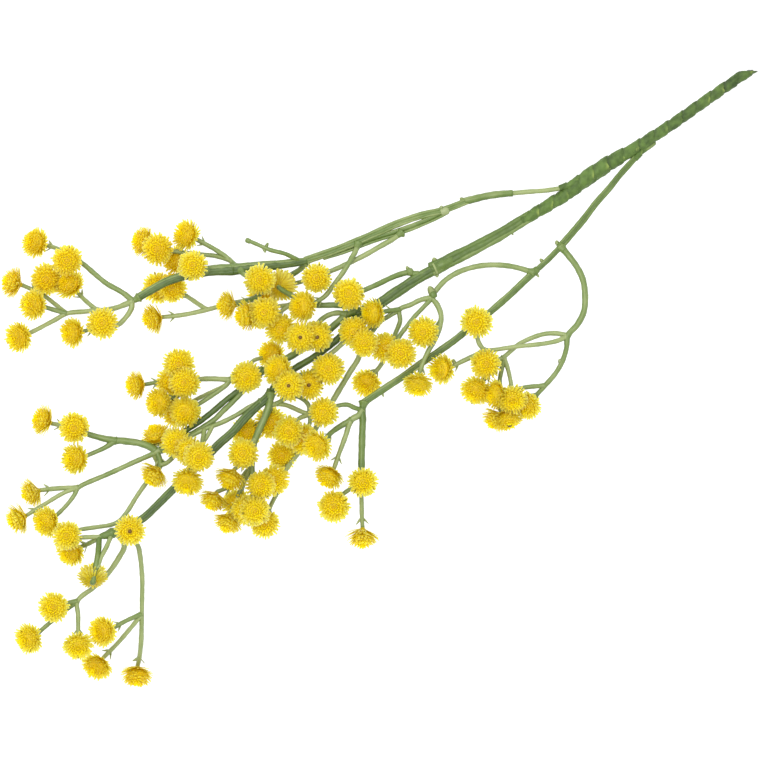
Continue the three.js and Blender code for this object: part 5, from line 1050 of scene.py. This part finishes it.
# %% Sockets, knots and the torn flakes of flash
FIT = 0.3  # between a plug and its socket, in mm
SOCKET_WALL = 0.8
SOCKET_DEPTH = 0.9  # how far a socket goes back into the branch from the plug's start
SOCKET_REACH = 2.2  # and how far along the stalk it ends
LIP = 0.22  # how thick its edge is on the stalk


def socket(points, radius):
    """A short cone round a spray's plugged end, that narrows to a thin lip on the stalk."""
    start = np.array(points[0], float)
    way = unit(np.array(points[1], float) - start)
    wide = radius + FIT + SOCKET_WALL
    lip = radius + LIP
    profile = [(-SOCKET_DEPTH, 0.8 * wide), (-0.3, wide), (0.5, 0.4 * wide + 0.6 * lip),
               (1.4, 1.04 * lip), (SOCKET_REACH, lip)]
    route = [[*(start + far * way), thick] for far, thick in profile]
    return tube(route, sides=16, spacing=0.6, tone=0.2, bulge=0.0, waves=0.02, ridge=0.0)


# A flake is: x, y, z of its foot, the way it points in degrees, length, width, tone.
FLAKES = {
    "branch_a": [[138.8, -20.6, 18.6, -60, 1.8, 1.9, 0.8], [150, -22.6, 19.8, -150, 1.8, 1.8, 2.2],
                 [170.8, -22.4, 20.6, 100, 1.6, 1.2, 1.0], [213, -33.4, 23.2, 60, 1.8, 1.0, 1.0],
                 [225.8, -49.6, 25.6, -150, 2.4, 1.6, 0.6], [226.6, -50, 25.6, 80, 2.2, 1.5, 0.6]],
    "branch_b": [[164.6, -3.4, 22.6, -105, 2.2, 2.8, 1.2], [166.6, 1.2, 23, 60, 1.5, 1.8, 0.8],
                 [128, 3.1, 17.4, 80, 1.5, 1.0, 1.0]],
    "branch_c": [[113.4, 18.6, 18.8, -100, 1.6, 2.0, 1.0], [123.4, 21.6, 20.4, -80, 1.5, 1.7, 1.0],
                 [128.6, 25, 21.2, 95, 1.8, 1.2, 1.0], [216, 33.8, 31.4, 80, 1.6, 1.0, 1.0]],
    "spray_b1": [[176.5, -6.6, 23.8, -90, 2.2, 1.9, 1.2]],
    "spray_c1": [[140.6, 65.4, 28.2, -95, 2.4, 2.4, 2.2], [181.2, 39.6, 29.4, -100, 2.0, 1.6, 0.9]],
    "spray_c2": [[173, 8.4, 29.6, -94, 4.0, 3.6, 1.6]],
}

# A knot is a run of [x, y, z, radius] and its tone.
KNOTS = {
    "branch_a": [([[146.9, -20.5, 18.6, 1.45], [148.4, -20.9, 18.8, 1.75], [150.4, -21.4, 19, 1.6]], 2.2),
                 ([[230.2, -55.6, 23.9, 1.1], [231.2, -57.1, 23.5, 1.2]], 0.2)],
    "branch_b": [([[157, -0.5, 20.7, 2.3], [162.6, -1, 21.4, 2.9], [166, -1.3, 21.8, 2.95]], 0.1),
                 ([[166, -1.3, 21.8, 3.05], [166.7, -1.4, 21.9, 3.05]], 1.0),
                 # painted shade: the dark band of tone -1.3 just after branch b's sleeve stands for the
                 # shaded gap behind its rim
                 ([[166.7, -1.4, 21.9, 2.5], [168, -1.5, 22.1, 2.35]], -1.3),
                 ([[311.4, 1.6, 32.6, 1.1], [313.4, 1.6, 32.8, 1.2]], -1.5)],
    "branch_c": [([[111.4, 19.8, 18.4, 1.6], [113.6, 20.5, 18.9, 1.9]], 0.0),
                 ([[127, 23.3, 20.7, 1.6], [129.6, 23.8, 21.1, 1.9]], 0.0)],
    "spray_b1": [([[176.9, -4.6, 22.9, 1.5], [176.5, -6.2, 23, 1.9], [177.4, -7.2, 23, 1.4]], 0.3)],
    "spray_c2": [([[173, 7.2, 29, 1.5], [173.1, 8.4, 29.1, 1.8], [173.4, 9.6, 29.1, 1.5]], 0.0)],
}
print("flakes:", sum(map(len, FLAKES.values())), "knots:", sum(map(len, KNOTS.values())))

# %% Torn flash and knots as skins
FLAKE_THICKNESS = 0.3
FLAKE_WIDTHS = np.array([1.0, 1.0, 0.95, 0.8, 0.5])  # shares of the width, from the foot to the tip


def flakes(rows):
    """Torn flash: straps that leave their foot level and lift by a quarter of their length."""
    x, y, z, heading, length, width, tone = np.array(rows, float).T
    turn = np.radians(heading)
    on = np.stack([np.cos(turn), np.sin(turn), 0 * turn], -1)[:, None]
    t = np.linspace(0, 1, 5)[None, :, None]
    middle = np.stack([x, y, z], -1)[:, None] + t * length[:, None, None] * on
    middle[..., 2] += 0.25 * length[:, None] * t[..., 0] ** 2
    level = np.stack([-np.sin(turn), np.cos(turn), 0 * turn], -1)
    across = np.broadcast_to(level[:, None], middle.shape)
    return straps(middle, across, width[:, None] * FLAKE_WIDTHS, FLAKE_THICKNESS, 0.1,
                  (tone[:, None, None], 1.0, t), (t, 0.0, 0.0))


def trimmings(piece):
    """The knots and the flakes of one piece, if it has any."""
    knots = KNOTS.get(piece, [])
    skins = [tube(run, sides=16, spacing=0.6, tone=tone, ridge=0.0) for run, tone in knots]
    return skins + ([flakes(FLAKES[piece])] if piece in FLAKES else [])


print("pieces with knots or flakes:", sorted({*KNOTS, *FLAKES}))

# %% The branches
# x, y, z and radius of the end of branch c's root, which was left outside the tape
ROOT_TIP = [[51.7, 3.1, 7.4, 0.8], [53.6, 3.3, 7.8, 0.95], [57, 3.3, 8.2, 1.0]]
for branch, limbs in LIMBS.items():
    own_sprays = "spray_" + branch[-1]
    plugs = [rows[0] for name, rows in SPRAYS.items() if name.startswith(own_sprays)]
    skins = [skin for limb in limbs for skin in limb_skins(branch, limb)]
    skins += [socket(points, radius) for _, radius, _, points, _ in plugs]
    skins += trimmings(branch)
    if branch == "branch_c":
        skins.append(tube(ROOT_TIP, tone=0.2))
    put(f"moulded_{branch}", skins, GREEN_PLASTIC, [branch])

# %% [markdown]
# ## The forked sprays
# Each spray is one moulding: a run of stalk goes on through its forks, and side stalks grow from it with
# a small web at their foot. A little way under most florets sits a pair of pointed scale leaves.

# %% Stalks as runs, and the pegs at their ends
def runs_of(rows):
    """A stalk that ends in a fork goes on as the first stalk that starts there; others are side runs."""
    runs = []
    for name, first, last, points, facing in rows:
        stations = with_radii(points, first, last).tolist()
        before = next((r for r in runs if not r["facing"] and r["end"] == points[0]), None)
        if before:
            before["stations"] += stations[1:]
            before.update(end=points[-1], facing=facing, name=name)
        else:
            runs.append({"stations": stations, "end": points[-1], "facing": facing, "name": name})
    return runs


PEG_SHOWS = ("K7", "K8", "K12", "K13", "L1", "F7")  # florets whose peg has come through
PEG_THROUGH = (8.3, 0.9, -3.0)  # height, radius and tone of such a peg: its tip is painted dark brown, as painted shade in the pit
PEG_HIDDEN = (1.2, 0.6)  # height and tone of a peg that ends among the petals


def stalk_skin(run, side_run):
    """A run as a thin moulded tube. Thin plastic is paler: tone falls as the radius grows."""
    radius = np.mean([station[3] for station in run["stations"]])
    tone = 0.85 - (radius - 0.9) + rng.uniform(-0.5, 0.35)
    return tube(run["stations"], sides=10, spacing=1.1, tone=tone, flare=0.3 if side_run else 0.0)


def peg_skin(run):
    """The stalk's end inside the floret: a straight tube up the facing, to the pit or through it."""
    foot = np.array(run["stations"][-1][:3])
    up = unit(np.array(run["facing"], float))
    top, tone = PEG_HIDDEN
    radius = run["stations"][-1][3]
    if run["name"] in PEG_SHOWS:
        top, radius, tone = PEG_THROUGH
    route = [[*(foot - 0.2 * up), radius], [*(foot + top * up), radius]]
    return tube(route, sides=8, spacing=3, tone=tone, ridge=0.0)


print("runs of stalk:", sum(len(runs_of(r)) for r in SPRAYS.values()))

# %% Scale leaves in pairs
LEAF_LENGTHS = (2.8, 3.6)
LEAF_THICKNESS = 0.45
LEAF_WIDTHS = 0.42 * np.array([0.9, 1.0, 0.7, 0.25])  # shares of the leaf's length, foot to tip
LEAF_CHANCE = 0.85  # few florets are without a pair


def scale_leaves(runs):
    """Pairs of straps on the stalk, 4 to 6 mm under a floret, that lean out at about 40 degrees."""
    feet, ways, sides, sizes = [], [], [], []
    for run in runs:
        line, radius = smooth_line(run["stations"], 0.5)
        behind = int(rng.integers(10, 14))
        if run["facing"] and len(line) > behind + 2 and rng.random() < LEAF_CHANCE:
            on, side, _ = directions(line)
            for hand in (-1, 1):
                feet.append(line[-behind] + hand * 0.6 * radius[-behind] * side[-behind])
                ways.append(unit(on[-behind] + hand * 0.85 * side[-behind]))
                upright = np.cross(ways[-1], hand * side[-behind])
                sides.append(unit(upright) + np.cross(unit(upright), ways[-1]))
                sizes.append(rng.uniform(*LEAF_LENGTHS))
    if not feet:
        return []
    t = np.linspace(0, 1, 4)[None, :, None]
    length = np.array(sizes)[:, None, None]
    middle = np.array(feet)[:, None] + t * length * np.array(ways)[:, None]
    across = np.broadcast_to(unit(np.array(sides))[:, None], middle.shape)
    return [straps(middle, across, length[..., 0] * LEAF_WIDTHS, LEAF_THICKNESS, 0.1,
                   (1.0, 0.9, t), (t, 0.0, 0.0))]


print("widest scale leaf in mm:", max(LEAF_LENGTHS) * LEAF_WIDTHS.max())


# %% [markdown]
# ## The florets
# A floret is eight thin toothed cups pushed one inside the other on to a peg. Each cup is cut into
# narrow petals, two dozen on the outer cups and fewer further in, and the cups get narrower and steeper
# towards the top, so that all the petals fan out from the stalk's end to a dome, as in a pompom: from
# the side they are rays, from above the outer ones show their length and the inner ones their tips.
# The petals are a fifth of a millimetre thick and lie over each other, so the dome looks soft and
# nearly closed. A cup is drawn as straps side by side, so that a seeded draw can turn, shorten and tilt
# each petal a little, as thin petals never spring back alike, and each whole cup sits a few degrees
# askew.

# %% The cups of a floret, from the outermost one in
# petals, tip radius, tip height, root height, width of the free tip, droop of the tip
CUPS = [
    [22, 6.90, 3.0, 0.4, 1.05, 0.0],
    [26, 7.45, 4.3, 0.7, 1.05, 0.0],
    [27, 6.90, 5.6, 1.2, 0.95, 0.0],
    [26, 6.10, 6.8, 1.8, 0.90, 0.1],
    [22, 5.00, 7.6, 2.6, 0.90, 0.2],
    [18, 3.75, 8.2, 3.6, 0.85, 0.2],
    [13, 2.45, 8.7, 4.8, 0.85, 0.1],
    [8, 1.20, 9.0, 6.0, 0.80, 0.0],
]
PETAL_ROOT = 0.5  # radius at which all petals start
PETAL_THICKNESS = 0.22
PETAL_GUTTER = 0.04  # how far a petal's middle sinks, as a share of its width
ALONG_PETAL = np.array([0.0, 0.35, 0.6, 0.82, 1.0])
FREE_FROM = 0.65  # the share of its length after which a petal is free of its neighbours
PIT_RADIUS = 2.0  # cups whose tips lie inside it are left off where a peg shows
print("petals on a floret:", sum(cup[0] for cup in CUPS))

# %% The size of each floret
SIZE_SPREAD = 0.05
FIRST_STATE, MULTIPLIER, MODULUS = 11, 16807, 2147483647


def seeded_sizes():
    """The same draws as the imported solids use: state * multiplier modulo modulus, two for each floret."""
    state = FIRST_STATE
    while True:
        state = state * MULTIPLIER % MODULUS
        size = 1 + SIZE_SPREAD * (2 * state / MODULUS - 1)
        state = state * MULTIPLIER % MODULUS
        yield size


next_size = seeded_sizes()
print("width of a floret in mm:", 2 * max(cup[1] for cup in CUPS), "times 1 give or take", SIZE_SPREAD)

# %% One cup on many florets
def cup_skins(feet, axes, sizes, tones, cup, level):
    """One cup on every floret given. A petal's middle line at t from 0 to 1 is at radius
    root + (tip - root) * t and height low + (high - low) * t ** 0.9 - droop * t ** 5. Up to where it
    comes free it is wider than its share of the circle, and then narrows to its free tip. The cup's
    axis leans by a small drawn slope, which moves a petal up on one side and down on the other. The
    draws turn a petal, change its length, by more on the inner cups, lift or lower its tip, and change
    its width and its bend to one side. "finish" holds the floret's tone, how thin the petal is, and t.
    """
    count, tip, high, low, free, droop = cup
    florets = len(feet)
    draw = rng.uniform(-1, 1, (5, florets, count))
    lean = rng.normal(0, 0.06, (2, florets, 1))
    start = rng.uniform(0, 2 * np.pi, (florets, 1))
    angle = 2 * np.pi * np.arange(count) / count + 0.05 * draw[0] + start
    t = ALONG_PETAL
    reach = (tip * (0.94 + (0.06 + 0.015 * level) * draw[1]))[..., None]
    radius = PETAL_ROOT + (reach - PETAL_ROOT) * t
    slope = (lean[0] * np.cos(angle) + lean[1] * np.sin(angle))[..., None]
    height = (low + (high - low) * t**0.9 - droop * t**5 + (0.5 * draw[2])[..., None] * t**2
              + slope * radius)
    share = 2 * np.pi / count * radius
    tips = (free * (1 + 0.15 * draw[3]))[..., None] * (1.6 - 0.8 * t)
    width = np.where(t < FREE_FROM, 1.25 * share, np.minimum(tips, 1.1 * share + 0.3))
    bend = angle[..., None] + (0.06 * draw[4])[..., None] * t**2
    cos, sin = np.cos(bend)[..., None], np.sin(bend)[..., None]
    out = cos * axes[:, None, None, 0] + sin * axes[:, None, None, 1]
    across = cos * axes[:, None, None, 1] - sin * axes[:, None, None, 0]
    middle = (feet[:, None, None] + sizes[:, None, None, None] * (
        radius[..., None] * out + height[..., None] * axes[:, None, None, 2]))
    flat = (florets * count, len(t), 3)
    width = (width * sizes[:, None, None]).reshape(flat[:2])
    tone = np.repeat(tones, count)[:, None, None]
    thin = t[None, :, None] * (1 - 0.7 * level / len(CUPS))
    mine = rng.uniform(0, 50, flat[0])[:, None, None]
    return straps(middle.reshape(flat), across.reshape(flat), width, PETAL_THICKNESS, PETAL_GUTTER,
                  (tone, thin, t[None, :, None]), (t[None, :, None], mine, level / len(CUPS)))


# %% The core inside the cups
# height, radius and paleness of the core's rings: a thin neck, then a dome among the petals' roots
CORE = np.array([[0.2, 1.0, 0.8], [1.0, 1.4, 0.8], [2.3, 2.9, 0.7], [3.8, 4.4, 0.6], [5.3, 4.7, 0.6],
                 [6.7, 3.7, 0.5], [7.6, 2.1, 0.4]])
CORE_FROM, CORE_TO = -0.3, 7.9  # heights of its two end points
CORE_SIDES = 12


def core_skins(feet, axes, sizes, tones):
    """A lathed core on each floret: point = foot + radius * (cos, sin) across + height up the facing."""
    angle = 2 * np.pi * np.arange(CORE_SIDES) / CORE_SIDES
    round_ = (np.cos(angle)[:, None] * axes[:, None, 0] + np.sin(angle)[:, None] * axes[:, None, 1])
    size = sizes[:, None, None, None]
    height, radius, inward = CORE.T[:, None, :, None]
    rings = feet[:, None, None] + size * (radius[..., None] * round_[:, None]
                                          + height[..., None] * axes[:, None, None, 2])
    first = feet + CORE_FROM * sizes[:, None] * axes[:, 2]
    last = feet + CORE_TO * sizes[:, None] * axes[:, 2]
    shape = rings.shape[:3]
    return (*closed_skins(rings, first, last),
            for_each_point(tones[:, None, None], 0.5, inward, shape=shape),
            for_each_point(inward, 0.0, 0.0, shape=shape))


print("width of the core in mm:", 2 * CORE[:, 1].max())

# %% Every spray: its green stalks and its yellow florets
LIT_ABOVE = 26  # mm over the table: a lower floret is painted duller, as painted shade
SHADED_OVER = 14  # mm further down its tone has fallen by 1


def spray_florets(runs):
    """All florets of a spray at once: a level frame on each facing, then the core and the cups. Where
    the peg shows, the innermost cups are left off, which leaves a pit round it. A floret's tone is
    (height - LIT_ABOVE) / SHADED_OVER, held between -1 and 0.6, plus a small draw.
    """
    heads = [run for run in runs if run["facing"]]
    feet = np.array([run["stations"][-1][:3] for run in heads])
    up = unit(np.array([run["facing"] for run in heads], float))
    level = unit(np.cross(up, np.where(np.abs(up[:, :1]) < 0.9, [[1.0, 0, 0]], [[0, 1.0, 0]])))
    axes = np.stack([level, np.cross(up, level), up], axis=1)
    sizes = np.array([next(next_size) for _ in heads])
    # painted shade: the lower a floret sits, the lower its tone and the duller its painted orange; the
    # small draw is its own
    tones = np.clip((feet[:, 2] - LIT_ABOVE) / SHADED_OVER, -1, 0.6) + rng.uniform(-0.3, 0.3, len(heads))
    closed = np.array([run["name"] not in PEG_SHOWS for run in heads])
    skins = [core_skins(feet, axes, sizes, tones)]
    for i, cup in enumerate(CUPS):
        on = closed | (cup[1] > PIT_RADIUS)
        if on.any():
            skins.append(cup_skins(feet[on], axes[on], sizes[on], tones[on], cup, i))
    return skins


for name, rows in SPRAYS.items():
    runs = runs_of(rows)
    green = [stalk_skin(run, i > 0) for i, run in enumerate(runs)] + scale_leaves(runs)
    green += [peg_skin(run) for run in runs if run["facing"]] + trimmings(name)
    put(f"{name}_stalks", green, GREEN_PLASTIC, [name])
    put(f"{name}_florets", spray_florets(runs), PETAL_PLASTIC, [name], smooth=False)

# %% [markdown]
# ## Table, light and camera
# The photograph is a catalogue shot on pure white: light comes from all round and a little more from
# above the upper left, and there is no shadow, as on a table of opal acrylic that is lit from behind.
# The camera looks straight down from far away, which keeps the florets near it from looking larger.

# %% The white table
def white_table():
    material, tree, shader = new_material("white_table_top")
    place = node(tree, "ShaderNodeTexCoord").outputs["Object"]
    cloud = node(tree, "ShaderNodeTexNoise", {"Vector": place, "Scale": per_mm(2.0)})
    opal = node(tree, "ShaderNodeMix", {0: cloud.outputs["Fac"], 6: swatch("#8C8C8B"),
                7: swatch("#949493")}, data_type="RGBA")
    fill(tree, shader, {"Base Color": opal.outputs[2], "Roughness": 0.9, "Emission Color": (1, 1, 1, 1),
         "Emission Strength": 0.95})
    return material


TABLE_HALF = 4.0  # metres from the middle to an edge
TABLE_TOP = -0.0004  # metres: just under the lowest petals
SQUARE = ((-1, -1), (1, -1), (1, 1), (-1, 1))
SHEET_CORNERS = [(x * TABLE_HALF, y * TABLE_HALF, TABLE_TOP) for x, y in SQUARE]
sheet = bpy.data.meshes.new("table")
sheet.from_pydata(SHEET_CORNERS, [], [(0, 1, 2, 3)])
sheet.materials.append(white_table())
table = bpy.data.objects.new("table", sheet)
bpy.context.scene.collection.objects.link(table)
print("the table is", 2 * TABLE_HALF, "m wide")

# %% Soft light
world = bpy.data.worlds.new("studio")
bpy.context.scene.world = world
world.use_nodes = True
fill(world.node_tree, world.node_tree.nodes["Background"], {"Color": (1, 1, 1, 1), "Strength": 1.0})

# a square area light above the upper left of the picture, which faces the middle of the spray
SOFTBOX_PLACE = np.array([0.1, -0.35, 1.35])  # metres
softbox = bpy.data.lights.new("softbox", "AREA")
softbox.size = 1.1  # metres
softbox.energy = 11  # watts
lamp = bpy.data.objects.new("softbox", softbox)
bpy.context.scene.collection.objects.link(lamp)
back = unit(SOFTBOX_PLACE)
beside = unit(np.cross([0.0, 1.0, 0.0], back))
facing = np.column_stack([beside, np.cross(back, beside), back])
lamp.matrix_world = Matrix.Translation(SOFTBOX_PLACE.tolist()) @ Matrix(facing.tolist()).to_4x4()
print("the softbox is", round(float(np.linalg.norm(SOFTBOX_PLACE)), 2), "m from the spray")

# %% The camera over the table
TARGET = np.array([8.83, 39.45, 24.0]) / 1000  # the middle of the picture, in metres
FRAME_WIDTH = 0.342  # metres of the scene across the picture
DISTANCE = 6.0  # metres, far enough to look nearly parallel
SENSOR = 36  # millimetres
TURN = np.radians(32)  # how far the stem is turned from the picture's level
right = np.array([-np.cos(TURN), np.sin(TURN), 0.0])
top = np.array([-np.sin(TURN), -np.cos(TURN), 0.0])
camera = bpy.data.objects.new("camera", bpy.data.cameras.new("camera"))
camera.data.sensor_width = SENSOR
camera.data.lens = SENSOR * DISTANCE / FRAME_WIDTH
camera.data.clip_end = 50
turn = Matrix(np.column_stack([right, top, [0.0, 0.0, 1.0]]).tolist()).to_4x4()
camera.matrix_world = Matrix.Translation((TARGET + [0, 0, DISTANCE]).tolist()) @ turn
bpy.context.scene.collection.objects.link(camera)
bpy.context.scene.camera = camera
bpy.context.scene.view_settings.view_transform = "Standard"
print("one pixel of the picture is", 1000 * FRAME_WIDTH / 760, "mm")
